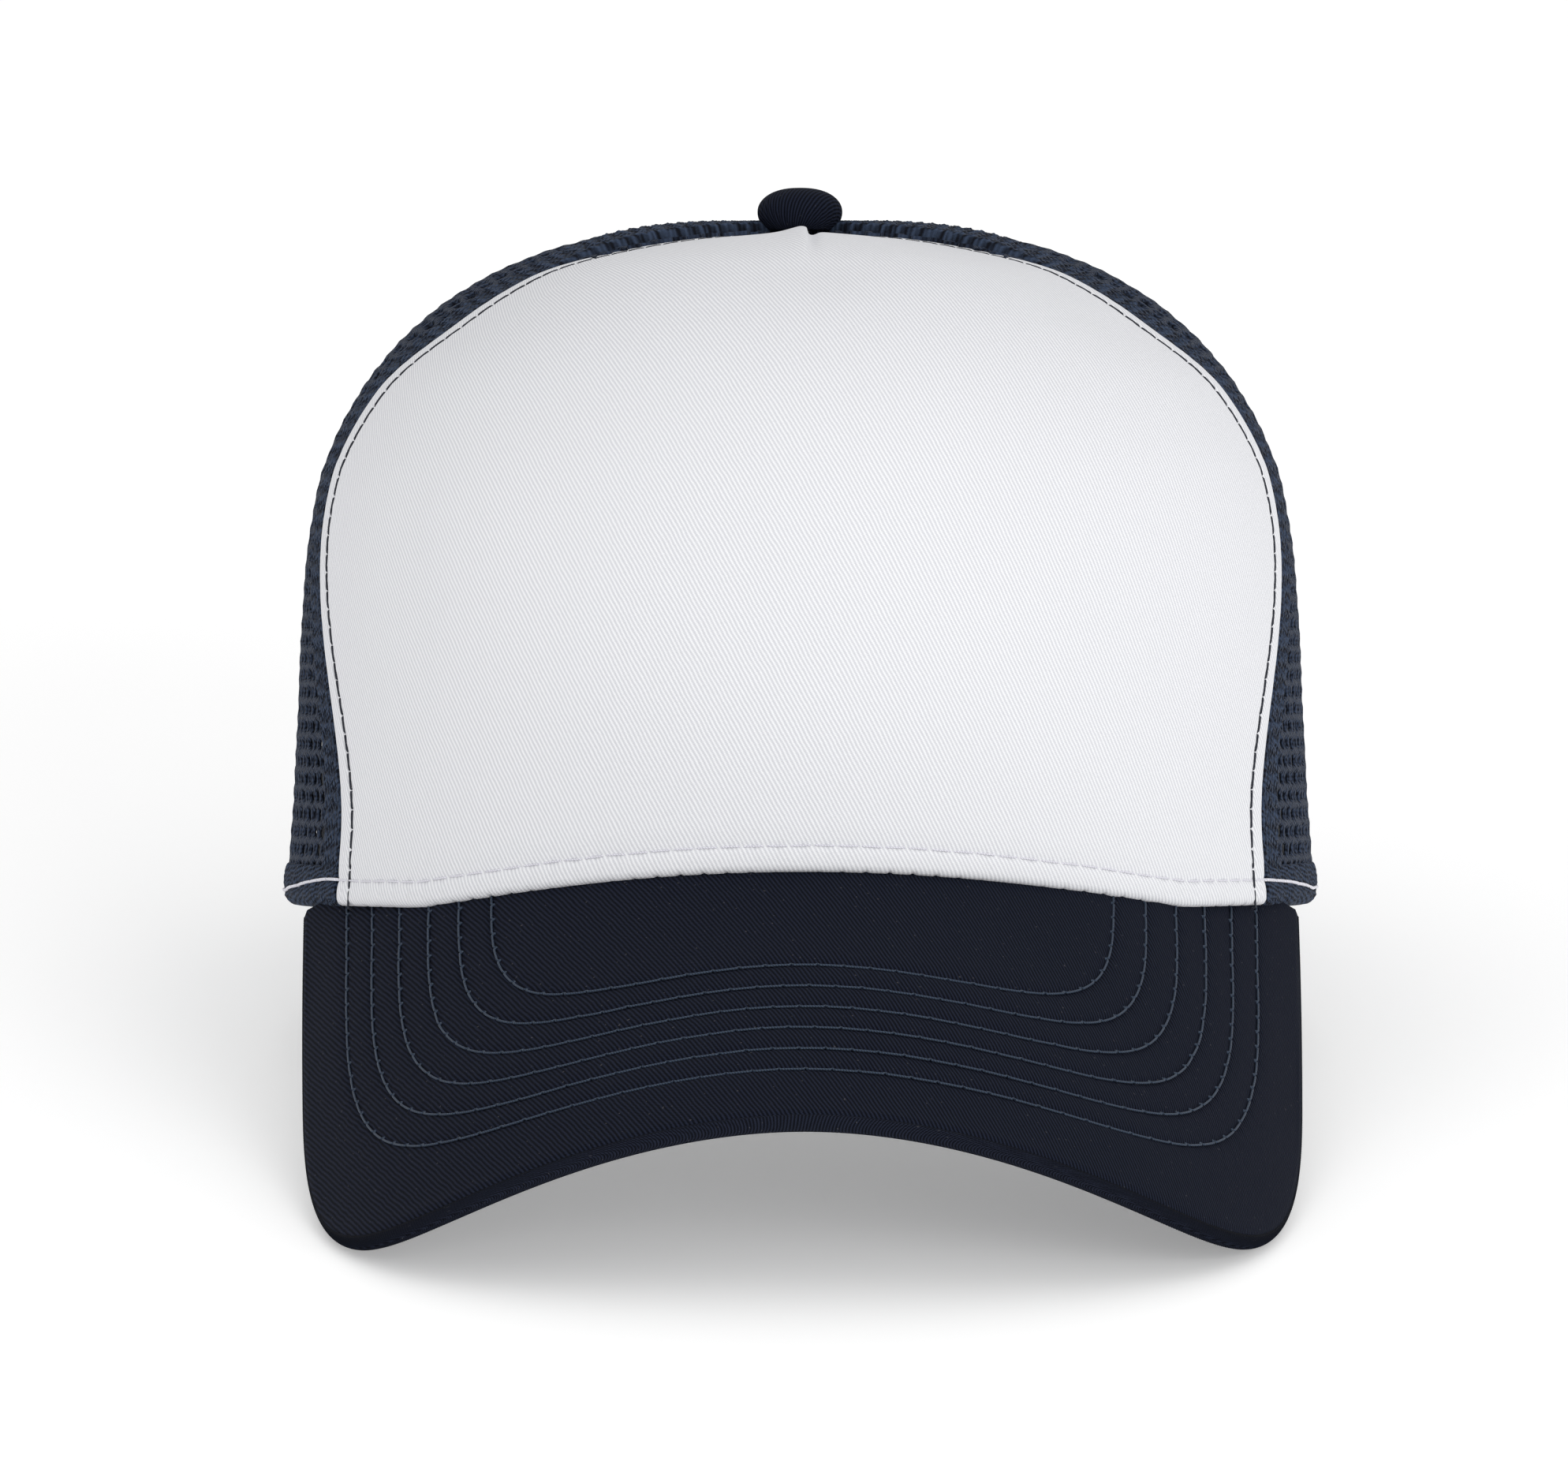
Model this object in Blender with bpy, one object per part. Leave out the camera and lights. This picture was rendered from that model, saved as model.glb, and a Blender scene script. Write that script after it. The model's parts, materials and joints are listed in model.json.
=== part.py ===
"""A trucker mesh cap: structured front panel, net sides and rear, stitched curved brim and snap strap.

Frame: metres, +Z up, brim towards -Y, symmetry plane X = 0. The cap stands on its brim tips and rear hem,
and the origin is at the bottom centre of its box. Lengths below are in millimetres and are scaled by MM.
Shapes are laid out in the cap's own frame, whose Z = 0 plane holds the side and rear hem, under an empty
that leans the cap back until brim tips and rear hem share one level.
"""

import math

import bmesh
import bpy
from mathutils import Vector

MM = 0.001

# Crown: half ellipses in plan and rounded squares in section
HALF_WIDTH = 88.0
FRONT_DEPTH = 87.0
REAR_DEPTH = 101.0
CROWN_HEIGHT = 117.0
APEX_BACK = 5.0
FRONT_WALL, FRONT_TOP = 3.6, 2.6
SIDE_WALL, SIDE_TOP = 3.9, 2.45
REAR_WALL, REAR_TOP = 2.6, 2.3
WAIST = 0.021
WAIST_END = 0.63
BUTTON_HOLE_RADIUS = 5.0

# The front seam lies in a shallow valley near the top, and the button sits in a dip
VALLEY = 2.3
VALLEY_RISE = (86.0, 101.0)
VALLEY_AHEAD, VALLEY_BEHIND = 28.0, 9.0
DIP = 2.2
DIP_RADIUS = 14.0

# Seams, as angles round the crown from the front
FRONT_SEAM_AT_HEM = 62.5
FRONT_SEAM_ABOVE = 75.0
FRONT_SEAM_AT_TOP = 63.0
SEAM_RISE = (12.0, 68.0)
SEAM_FALL = (70.0, 116.0)
SIDE_SEAM = 121.0
SEAM_GAP = 0.4

# Cloth layers, as depths below the crown's outer surface
PANEL = (0.0, 0.9)
LINING = (1.8, 2.6)
TAPE = (1.9, 2.5)
SWEATBAND = (4.6, 5.6)
LABEL = (6.1, 6.5)
TAPE_HALF_WIDTH = 6.5
TAPE_TOP_RADIUS = 20.0
SWEATBAND_TOP = 31.0
SWEATBAND_END = 150.0

# Rear arch and its binding
ARCH_HALF_WIDTH = 41.0
ARCH_HEIGHT = 48.0
BINDING_WIDTH = 9.0
FRONT_TAPE_FOOT, SIDE_TAPE_FOOT = 3.5, 0.6
TAPE_ABOVE_BINDING = 0.8

# Brim: a tapering curved sheet that slopes down from the front hem
BRIM_SLOPE = 33.0
BRIM_RADIUS = 92.0
BRIM_TAPER = 0.001
BRIM_HALF_WIDTH = 98.8
BRIM_LENGTH = 67.5
BRIM_WIDEST = -20.0
BRIM_ROUNDNESS = 2.5
HORN_HALF_WIDTH = 98.0
HORN_BACK = -64.0
BRIM_ROOT_DEPTH = 3.4
BRIM_BELOW_HEM = 1.6
BRIM_CLEARANCE = 0.35
BOARD_HALF = 0.9
COVER_GAP = 0.3
COVER_THICK = 0.8
TOP_LIP = (62.0, 34.0, 8.0, -16.0, -36.0)
UNDER_LIP = (-68.0, -52.0)
BOARD_EDGE = -0.45

# Snap straps
STRAP_LOW = 3.0
STRAP_HIGH = 18.0
HOLE_STRAP = (2.8, 4.0)
PEG_STRAP = (4.5, 5.7)
STRAP_ROOT = 37.5
STRAP_TIP = 25.0
TAB_END = 60.0
TAB_GAP = 1.4
TIP_ROUNDING = 6.0
PEG_PITCH = 9.5
PEG_COUNT = 5
HOLE_COUNT = 6
HOLE_RADIUS = 2.6
PEG_RADIUS = 2.0
PEG_PROUD = 1.1
PEG_SUNK = 0.6

# Covered button
BUTTON_RADIUS = 7.2
BUTTON_HEIGHT = 6.8
BUTTON_GAP = 0.6
BUTTON_CLOTH = 0.6
CLOTH_TO_CORE = 0.3
SHANK_RADIUS = 1.6
SHANK_LENGTH = 5.0
WASHER_RADIUS = 6.0
WASHER_BELOW = 1.4
WASHER_RIM = (0.4, 1.2)
WASHER_THICK = 1.6

COLOURS = {
    "white_twill": ((0.87, 0.87, 0.88), 0.9),
    "lining": ((0.80, 0.80, 0.78), 0.95),
    "navy_mesh": ((0.04, 0.045, 0.075), 0.8),
    "navy_twill": ((0.016, 0.018, 0.028), 0.9),
    "navy_tape": ((0.02, 0.024, 0.04), 0.9),
    "sweatband": ((0.02, 0.022, 0.035), 0.95),
    "brim_board": ((0.75, 0.75, 0.72), 0.6),
    "strap_plastic": ((0.015, 0.018, 0.03), 0.45),
    "button_metal": ((0.6, 0.6, 0.6), 0.35),
    "label": ((0.7, 0.7, 0.7), 0.8),
}


def clear_scene():
    for obj in list(bpy.data.objects):
        bpy.data.objects.remove(obj)


def material(name):
    found = bpy.data.materials.get(name)
    if found:
        return found
    colour, roughness = COLOURS[name]
    made = bpy.data.materials.new(name)
    made.use_nodes = True
    shader = made.node_tree.nodes["Principled BSDF"]
    shader.inputs["Base Color"].default_value = (*colour, 1.0)
    shader.inputs["Roughness"].default_value = roughness
    shader.inputs["Metallic"].default_value = 1.0 if name == "button_metal" else 0.0
    return made


def smoothstep(low, high, value):
    share = min(max((value - low) / (high - low), 0.0), 1.0)
    return share * share * (3.0 - 2.0 * share)


# ---- the crown's surface -------------------------------------------------------------------------------


def plan_point(angle, depth):
    """A point of the hem's plan curve, at this angle in radians round from the front."""
    length = FRONT_DEPTH if math.cos(angle) > 0 else REAR_DEPTH
    return (HALF_WIDTH - depth) * math.sin(angle), -(length - depth) * math.cos(angle)


def section_powers(angle):
    """How upright the wall is and how flat the top is, blended from the side to the front or rear."""
    cosine = math.cos(angle)
    wall, top = (FRONT_WALL, FRONT_TOP) if cosine > 0 else (REAR_WALL, REAR_TOP)
    blend = cosine * cosine
    return SIDE_WALL + (wall - SIDE_WALL) * blend, SIDE_TOP + (top - SIDE_TOP) * blend


def reach_at(angle, share):
    """How much of the hem's width is left at this share of the crown's height."""
    wall, top = section_powers(angle)
    waist = 1.0 - WAIST * math.sin(angle) ** 2 * math.sin(math.pi * min(share / WAIST_END, 1.0))
    return waist * (1.0 - share**wall) ** (1.0 / top)


def sink_at(angle, reach, height):
    """How far the cloth lies below the plain section: the front seam's valley and the button's dip."""
    wall = HALF_WIDTH * reach
    beyond = (abs(angle) - front_seam_angle(height)) * max(wall, BUTTON_HOLE_RADIUS)
    width = VALLEY_AHEAD if beyond < 0.0 else VALLEY_BEHIND
    valley = VALLEY * smoothstep(*VALLEY_RISE, height) * math.exp(-((beyond / width) ** 2))
    return valley + max(DIP - valley, 0.0) * math.exp(-((wall / DIP_RADIUS) ** 2))


def crown_point(angle, height, depth=0.0):
    """The crown at this angle and height above the side hem, this deep below its outer surface."""
    top = CROWN_HEIGHT - depth
    share = min(max(height / top, 0.0), 1.0)
    reach = reach_at(angle, share)
    x, y = plan_point(angle, depth)
    back = APEX_BACK * share * share
    return Vector((x * reach, y * reach + back, height - sink_at(angle, reach, height)))


def height_at_reach(angle, reach, depth=0.0):
    """How high the crown is where it has closed in to this share of its hem."""
    wall, top = section_powers(angle)
    return (CROWN_HEIGHT - depth) * (1.0 - reach**top) ** (1.0 / wall)


def front_seam_angle(height):
    back = (FRONT_SEAM_ABOVE - FRONT_SEAM_AT_HEM) * smoothstep(*SEAM_RISE, height)
    forward = (FRONT_SEAM_ABOVE - FRONT_SEAM_AT_TOP) * smoothstep(*SEAM_FALL, height)
    return math.radians(FRONT_SEAM_AT_HEM + back - forward)


# ---- the brim's surface --------------------------------------------------------------------------------


def brim_middle(across, forward):
    """The brim's mid surface: across is measured round the curve, forward along the slope."""
    slope = math.radians(BRIM_SLOPE)
    radius = BRIM_RADIUS * (1.0 - BRIM_TAPER * forward)
    turn = across / radius
    drop = radius * (1.0 - math.cos(turn))
    return Vector(
        (
            radius * math.sin(turn),
            -FRONT_DEPTH - forward * math.cos(slope),
            -forward * math.sin(slope) - drop,
        )
    )


def brim_point(across, forward, above):
    """A point this far above the mid surface, square to it."""
    step = 0.01
    middle = brim_middle(across, forward)
    sideways = brim_middle(across + step, forward) - middle
    ahead = brim_middle(across, forward + step) - middle
    normal = ahead.cross(sideways).normalized()
    return middle + above * (normal if normal.z > 0 else -normal)


def brim_flat_at(angle, above, depth):
    """Where a layer of the brim passes under the crown's plan curve, in the flat sheet's coordinates."""
    x, y = plan_point(angle, depth)
    slope = math.radians(BRIM_SLOPE)
    across = x
    forward = (-FRONT_DEPTH - y) / math.cos(slope)
    for _ in range(12):
        here = brim_point(across, forward, above)
        lean = max(math.cos(across / BRIM_RADIUS), 0.3)
        across += (x - here.x) / lean
        forward += (here.y - y) / math.cos(slope)
    return across, forward


def brim_rise():
    """The lift that puts the brim's top at the hem's level where the front seam reaches it."""
    corner = math.radians(FRONT_SEAM_AT_HEM)
    across, forward = brim_flat_at(corner, BRIM_TOP, 0.0)
    return -BRIM_BELOW_HEM - brim_point(across, forward, BRIM_TOP).z


BRIM_TOP = BOARD_HALF + COVER_GAP + COVER_THICK
RISE = Vector((0.0, 0.0, brim_rise()))


def front_hem_height(angle, depth):
    """The front panel's lower edge, just clear of the brim; the side hem's level beyond the seam."""
    if abs(angle) >= math.radians(FRONT_SEAM_AT_HEM):
        return 0.0
    across, forward = brim_flat_at(angle, BRIM_TOP, depth)
    level = (brim_point(across, forward, BRIM_TOP) + RISE).z
    return max(level + BRIM_CLEARANCE, 0.0)


# ---- meshes --------------------------------------------------------------------------------------------


def new_node(name, slot, points, faces, parent, smooth=True):
    mesh = bpy.data.meshes.new(name)
    mesh.from_pydata([Vector(p) * MM for p in points], [], faces)
    work = bmesh.new()
    work.from_mesh(mesh)
    bmesh.ops.recalc_face_normals(work, faces=work.faces)
    work.to_mesh(mesh)
    work.free()
    mesh.materials.append(material(slot))
    if smooth:
        mesh.shade_smooth()
        mesh.set_sharp_from_angle(angle=math.radians(40))
    obj = bpy.data.objects.new(name, mesh)
    bpy.context.scene.collection.objects.link(obj)
    obj.parent = parent
    return obj


def slab(name, slot, outer, inner, parent):
    """A closed sheet between two grids of points that have the same rows and columns."""
    rows, columns = len(outer), len(outer[0])
    count = rows * columns
    points = [p for row in outer for p in row] + [p for row in inner for p in row]
    faces = []
    for i in range(rows - 1):
        for j in range(columns - 1):
            a, b = i * columns + j, i * columns + j + 1
            c, d = b + columns, a + columns
            faces.append((a, b, c, d))
            faces.append((a + count, d + count, c + count, b + count))
    rim = [(0, j) for j in range(columns)]
    rim += [(i, columns - 1) for i in range(1, rows)]
    rim += [(rows - 1, j) for j in range(columns - 2, -1, -1)]
    rim += [(i, 0) for i in range(rows - 2, 0, -1)]
    for (i, j), (k, m) in zip(rim, rim[1:] + rim[:1]):
        a, b = i * columns + j, k * columns + m
        faces.append((b, a, a + count, b + count))
    return new_node(name, slot, points, faces, parent)


def lathe(name, slot, profile, parent, steps=24):
    """A closed solid turned round Z from (radius, height) pairs that run round its section."""
    points, rings = [], []
    for radius, height in profile:
        if radius < 1e-6:
            rings.append([len(points)] * steps)
            points.append((0.0, APEX_BACK, height))
            continue
        rings.append(list(range(len(points), len(points) + steps)))
        for step in range(steps):
            turn = 2.0 * math.pi * step / steps
            points.append((radius * math.cos(turn), APEX_BACK + radius * math.sin(turn), height))
    faces = []
    for first, second in zip(rings, rings[1:] + rings[:1]):
        for step in range(steps):
            after = (step + 1) % steps
            corners = [first[step], first[after], second[after], second[step]]
            kept = list(dict.fromkeys(corners))
            if len(kept) > 2:
                faces.append(kept)
    return new_node(name, slot, points, faces, parent)


# ---- crown pieces --------------------------------------------------------------------------------------


def superellipse_height(turn):
    """The height of a rounded square's edge at this turn from its base: spaces rows evenly along it."""
    return (math.cos(turn) ** 3 + math.sin(turn) ** 3) ** (-1.0 / 3.0) * math.sin(turn)


def crown_grid(left, right, lowest, depth, columns, rows, side=1.0, top_radius=BUTTON_HOLE_RADIUS):
    """Points between two seam functions of height, from the hem up to a ring round the button."""
    grid = []
    for row in range(rows + 1):
        climb = row / rows
        line = []
        for column in range(columns + 1):
            share = column / columns
            angle = left(0.0) + (right(0.0) - left(0.0)) * share
            hem = lowest(angle, depth)
            for _ in range(4):
                top = height_at_reach(angle, top_radius / HALF_WIDTH, depth)
                start = math.atan2(hem, CROWN_HEIGHT)
                turn = start + (0.5 * math.pi - start) * climb
                base = superellipse_height(start)
                height = hem + (top - hem) * (superellipse_height(turn) - base) / (1.0 - base)
                angle = left(height) + (right(height) - left(height)) * share
            point = crown_point(angle, height, depth)
            line.append((side * point.x, point.y, point.z))
        grid.append(line)
    return grid


def beside(seam, distance):
    """A seam moved this far round the crown, as a function of height."""

    def angle(height):
        share = min(height / CROWN_HEIGHT, 1.0)
        radius = HALF_WIDTH * (1.0 - share**3) ** (1.0 / 3.0)
        return seam(height) + distance / max(radius, BUTTON_HOLE_RADIUS)

    return angle


def side_seam_angle(_height):
    return math.radians(SIDE_SEAM)


def rear_seam_angle(_height):
    return math.pi


def left_front_seam(height):
    return -front_seam_angle(height)


def flat_hem(_angle, _depth):
    return 0.0


def crown_sheet(name, slot, layer, parent, **shape):
    """A sheet of the crown between two depths; shape holds the rest of what crown_grid needs."""
    outer = crown_grid(depth=layer[0], **shape)
    inner = crown_grid(depth=layer[1], **shape)
    return slab(name, slot, outer, inner, parent)


def make_front(parent):
    half_gap = SEAM_GAP / 2.0
    crown_sheet(
        "front_panel", "white_twill", PANEL, parent,
        left=beside(left_front_seam, half_gap), right=beside(front_seam_angle, -half_gap),
        lowest=front_hem_height, columns=14, rows=14,
    )
    clear_of_tape = TAPE_HALF_WIDTH + 0.5
    crown_sheet(
        "front_panel_lining", "lining", LINING, parent,
        left=beside(left_front_seam, clear_of_tape), right=beside(front_seam_angle, -clear_of_tape),
        lowest=lambda angle, depth: front_hem_height(angle, depth) + 0.5,
        columns=14, rows=12, top_radius=14.0,
    )


def arch_outline(outset):
    """(x, height) points round the rear arch, left foot to right foot, this far outside its edge."""
    half, spring = ARCH_HALF_WIDTH + outset, ARCH_HEIGHT - ARCH_HALF_WIDTH
    steps = 20
    turns = [math.pi * k / steps for k in range(steps + 1)]
    arc = [(-half * math.cos(turn), spring + half * math.sin(turn)) for turn in turns]
    return [(-half, SIDE_TAPE_FOOT)] + arc + [(half, SIDE_TAPE_FOOT)]


def rear_point(x, height, depth):
    """The rear of the crown at this x and height."""
    angle = math.pi
    for _ in range(8):
        reach = reach_at(angle, height / (CROWN_HEIGHT - depth))
        angle = math.pi - math.asin(x / ((HALF_WIDTH - depth) * reach))
    return crown_point(angle, height, depth)


def arch_cutter(parent):
    outline = arch_outline(0.0)
    outline[0] = (-ARCH_HALF_WIDTH, -5.0)
    outline[-1] = (ARCH_HALF_WIDTH, -5.0)
    count = len(outline)
    near = [(x, REAR_DEPTH * 0.5, z) for x, z in outline]
    far = [(x, REAR_DEPTH * 1.2, z) for x, z in outline]
    faces = [tuple(range(count)), tuple(range(2 * count - 1, count - 1, -1))]
    faces += [(k, (k + 1) % count, count + (k + 1) % count, count + k) for k in range(count)]
    return helper(new_node("arch_cutter", "navy_tape", near + far, faces, parent, smooth=False))


def helper(obj):
    obj.hide_render = True
    obj.display_type = "WIRE"
    return obj


def boolean(obj, other, operation):
    change = obj.modifiers.new(operation.title(), "BOOLEAN")
    change.operation = operation
    change.object = other


def make_mesh_panels(parent):
    cutter = arch_cutter(parent)
    half_gap = SEAM_GAP / 2.0
    for side, word in ((-1.0, "left"), (1.0, "right")):
        crown_sheet(
            f"side_mesh_{word}", "navy_mesh", PANEL, parent,
            left=beside(front_seam_angle, half_gap), right=beside(side_seam_angle, -half_gap),
            lowest=flat_hem, columns=6, rows=14, side=side,
        )
        rear = crown_sheet(
            f"rear_mesh_{word}", "navy_mesh", PANEL, parent,
            left=beside(side_seam_angle, half_gap), right=beside(rear_seam_angle, -half_gap),
            lowest=flat_hem, columns=7, rows=14, side=side,
        )
        boolean(rear, cutter, "DIFFERENCE")


def make_tapes(parent):
    half = TAPE_HALF_WIDTH
    for side, word in ((-1.0, "left"), (1.0, "right")):
        for seam, name, foot in (
            (front_seam_angle, f"front_seam_tape_{word}", FRONT_TAPE_FOOT),
            (side_seam_angle, f"side_seam_tape_{word}", SIDE_TAPE_FOOT),
        ):
            crown_sheet(
                name, "navy_tape", TAPE, parent,
                left=beside(seam, -half), right=beside(seam, half),
                lowest=lambda _angle, _depth, foot=foot: foot,
                columns=2, rows=12, side=side, top_radius=TAPE_TOP_RADIUS,
            )
    above_arch = ARCH_HEIGHT + BINDING_WIDTH + TAPE_ABOVE_BINDING
    crown_sheet(
        "centre_seam_tape", "navy_tape", TAPE, parent,
        left=beside(rear_seam_angle, -half), right=beside(rear_seam_angle, half),
        lowest=lambda _angle, _depth: above_arch,
        columns=2, rows=6, top_radius=TAPE_TOP_RADIUS,
    )
    inner_edge, outer_edge = arch_outline(0.0), arch_outline(BINDING_WIDTH)
    layers = []
    for depth in TAPE:
        grid = []
        for share in (0.0, 0.5, 1.0):
            grid.append([
                rear_point(a + (c - a) * share, b + (d - b) * share, depth)
                for (a, b), (c, d) in zip(inner_edge, outer_edge)
            ])
        layers.append(grid)
    slab("arch_binding", "navy_tape", layers[0], layers[1], parent)


def make_sweatband(parent):
    """A band round the head, open behind, with a blank size label on its left rear."""

    def lower_edge(angle, depth):
        under_brim = 4.0 * (1.0 - smoothstep(50.0, FRONT_SEAM_AT_HEM, math.degrees(abs(angle))))
        return front_hem_height(angle, depth) + 0.5 - under_brim

    def band(layer, first, last, columns, low, high):
        grids = []
        for depth in layer:
            grid = []
            for share in (0.0, 0.5, 1.0):
                line = []
                for column in range(columns + 1):
                    angle = math.radians(first + (last - first) * column / columns)
                    foot = low(angle, depth)
                    line.append(crown_wall(angle, foot + (high - foot) * share, depth))
                grid.append(line)
            grids.append(grid)
        return grids

    outer, inner = band(SWEATBAND, -SWEATBAND_END, SWEATBAND_END, 48, lower_edge, SWEATBAND_TOP)
    slab("sweatband", "sweatband", outer, inner, parent)
    outer, inner = band(LABEL, 128.0, 142.0, 3, lambda _angle, _depth: 8.0, 24.0)
    slab("size_label", "label", outer, inner, parent)


def crown_wall(angle, height, depth):
    """As crown_point, carried straight down below the hem's level."""
    point = crown_point(angle, max(height, 0.0), depth)
    point.z = height
    return point


# ---- brim pieces ---------------------------------------------------------------------------------------


def brim_outline(outset):
    """The flat sheet's outer edge from the left horn round the front to the right horn."""
    wide, back = BRIM_HALF_WIDTH + outset, HORN_HALF_WIDTH + outset
    length = BRIM_LENGTH + outset - BRIM_WIDEST
    side, front = [], []
    steps = 24
    for k in range(steps):
        share = 1.0 - k / steps
        forward = BRIM_WIDEST + (HORN_BACK - BRIM_WIDEST) * share
        side.append((wide - (wide - back) * share**2, forward))
    for k in range(4 * steps + 1):
        turn = math.pi * k / (4 * steps)
        cosine, sine = math.cos(turn), max(math.sin(turn), 0.0)
        across = -wide * math.copysign(abs(cosine) ** (2.0 / BRIM_ROUNDNESS), cosine)
        front.append((across, BRIM_WIDEST + length * sine ** (2.0 / BRIM_ROUNDNESS)))
    left = [(-across, forward) for across, forward in side]
    return left + front + side[::-1]


def along(points, share):
    """The point at this share of a polyline's length."""
    lengths = [math.dist(a, b) for a, b in zip(points, points[1:])]
    left = share * sum(lengths)
    for (a, b), length in zip(zip(points, points[1:]), lengths):
        if left <= length:
            part = left / length if length > 0.0 else 0.0
            return a[0] + (b[0] - a[0]) * part, a[1] + (b[1] - a[1]) * part
        left -= length
    return points[-1]


BRIM_COLUMNS = 36


def brim_row(share, above, outset):
    """One row of brim points, at this share of the way from the root to the outer edge."""
    outline = brim_outline(outset)
    row = []
    for column in range(BRIM_COLUMNS + 1):
        place = column / BRIM_COLUMNS
        angle = math.radians(FRONT_SEAM_AT_HEM) * (2.0 * place - 1.0)
        root = brim_flat_at(angle, above, BRIM_ROOT_DEPTH)
        edge = along(outline, place)
        across = root[0] + (edge[0] - root[0]) * share
        forward = root[1] + (edge[1] - root[1]) * share
        row.append(brim_point(across, forward, above) + RISE)
    return row


def brim_sheet(above, edge_outset, rows, lip_turns=()):
    """Rows from the root to the edge at one level, then round the edge through lip_turns, in degrees."""
    level = abs(above)
    grid = [brim_row(row / rows, above, edge_outset) for row in range(rows + 1)]
    for turn in lip_turns:
        angle = math.radians(turn)
        grid.append(brim_row(1.0, level * math.sin(angle), edge_outset + level * math.cos(angle)))
    return grid


def make_brim(parent):
    inside = BOARD_HALF + COVER_GAP
    rows = 4
    round_edge = -BOARD_HALF
    outer = brim_sheet(BRIM_TOP, round_edge, rows, TOP_LIP)
    inner = brim_sheet(inside, round_edge, rows, TOP_LIP)
    slab("brim_top_cover", "navy_twill", outer, inner, parent)
    inner = brim_sheet(-inside, round_edge, rows, UNDER_LIP)
    outer = brim_sheet(-BRIM_TOP, round_edge, rows, UNDER_LIP)
    slab("brim_under_cover", "navy_twill", inner, outer, parent)
    upper = brim_sheet(BOARD_HALF, BOARD_EDGE, rows)
    lower = brim_sheet(-BOARD_HALF, BOARD_EDGE, rows)
    slab("brim_board", "brim_board", upper, lower, parent)


# ---- snap straps ---------------------------------------------------------------------------------------


def empty(name, location, parent):
    made = bpy.data.objects.new(name, None)
    bpy.context.scene.collection.objects.link(made)
    made.parent = parent
    made.location = Vector(location) * MM
    return made


def strap_solid(name, layer, start, end, depth_shift, parent, pivot):
    """A strap between two x places, whose depth may grow by depth_shift(x); its tip is rounded."""
    columns = 18
    middle, half = (STRAP_LOW + STRAP_HIGH) / 2.0, (STRAP_HIGH - STRAP_LOW) / 2.0
    grids = []
    for depth in layer:
        grid = []
        for share in (-1.0, 0.0, 1.0):
            line = []
            for column in range(columns + 1):
                x = start + (end - start) * column / columns
                into_tip = 1.0 - min(abs(end - x) / TIP_ROUNDING, 1.0)
                tight = math.sqrt(1.0 - 0.75 * into_tip**2)
                point = rear_point(x, middle + half * tight * share, depth + depth_shift(x))
                line.append(point - pivot)
            grid.append(line)
        grids.append(grid)
    return slab(name, "strap_plastic", grids[0], grids[1], parent)


def studs(name, radius, count, first, inner, outer, parent, pivot):
    """Short round bars square to the strap at the snap pitch, as one helper mesh."""
    middle = (STRAP_LOW + STRAP_HIGH) / 2.0
    sides = 14
    points, faces = [], []
    for index in range(count):
        x = (first + index) * PEG_PITCH
        near = rear_point(x, middle, inner)
        far = rear_point(x, middle, outer)
        out = (far - near).normalized()
        sideways = Vector((0.0, 0.0, 1.0)).cross(out).normalized()
        start = len(points)
        for centre in (near, far):
            for side in range(sides):
                turn = 2.0 * math.pi * side / sides
                up = Vector((0.0, 0.0, radius * math.sin(turn)))
                points.append(centre - pivot + sideways * (radius * math.cos(turn)) + up)
        faces.append([start + k for k in range(sides)])
        faces.append([start + sides + k for k in reversed(range(sides))])
        for k in range(sides):
            m = (k + 1) % sides
            faces.append([start + k, start + m, start + sides + m, start + sides + k])
    return helper(new_node(name, "strap_plastic", points, faces, parent, smooth=False))


def make_straps(parent):
    middle = (STRAP_LOW + STRAP_HIGH) / 2.0
    tab_depth = (HOLE_STRAP[0] + HOLE_STRAP[1]) / 2.0
    for side, word in ((-1.0, "hole"), (1.0, "peg")):
        strap_solid(
            f"{word}_strap_tab", HOLE_STRAP, side * (STRAP_ROOT + TAB_GAP), side * TAB_END,
            lambda _x: 0.0, parent, Vector((0.0, 0.0, 0.0)),
        )
    pivot = rear_point(-STRAP_ROOT, middle, tab_depth)
    hinge = empty("hole_strap_hinge", pivot, parent)
    strap = strap_solid("hole_strap", HOLE_STRAP, -STRAP_ROOT, STRAP_TIP, lambda _x: 0.0, hinge, pivot)
    through = (HOLE_STRAP[1] + 2.0, HOLE_STRAP[0] - 2.0)
    holes = studs("snap_holes", HOLE_RADIUS, HOLE_COUNT, -3, *through, hinge, pivot)
    boolean(strap, holes, "DIFFERENCE")

    def tuck(x):
        return (HOLE_STRAP[0] - PEG_STRAP[0]) * smoothstep(STRAP_TIP + 2.0, STRAP_ROOT - 2.0, x)

    pivot = rear_point(STRAP_ROOT, middle, tab_depth)
    hinge = empty("peg_strap_hinge", pivot, parent)
    strap = strap_solid("peg_strap", PEG_STRAP, STRAP_ROOT, -STRAP_TIP, tuck, hinge, pivot)
    standing = (PEG_STRAP[0] + PEG_SUNK, HOLE_STRAP[0] - PEG_PROUD)
    pegs = studs("snap_pegs", PEG_RADIUS, PEG_COUNT, -2, *standing, hinge, pivot)
    boolean(strap, pegs, "UNION")


# ---- button --------------------------------------------------------------------------------------------


def dome(radius, base, height, steps=5):
    """Half a section of a low dome, from its rim up to the axis."""
    turns = [math.pi / 2.0 * k / steps for k in range(steps + 1)]
    return [(radius * math.cos(t), base + height * math.sin(t)) for t in turns]


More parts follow.
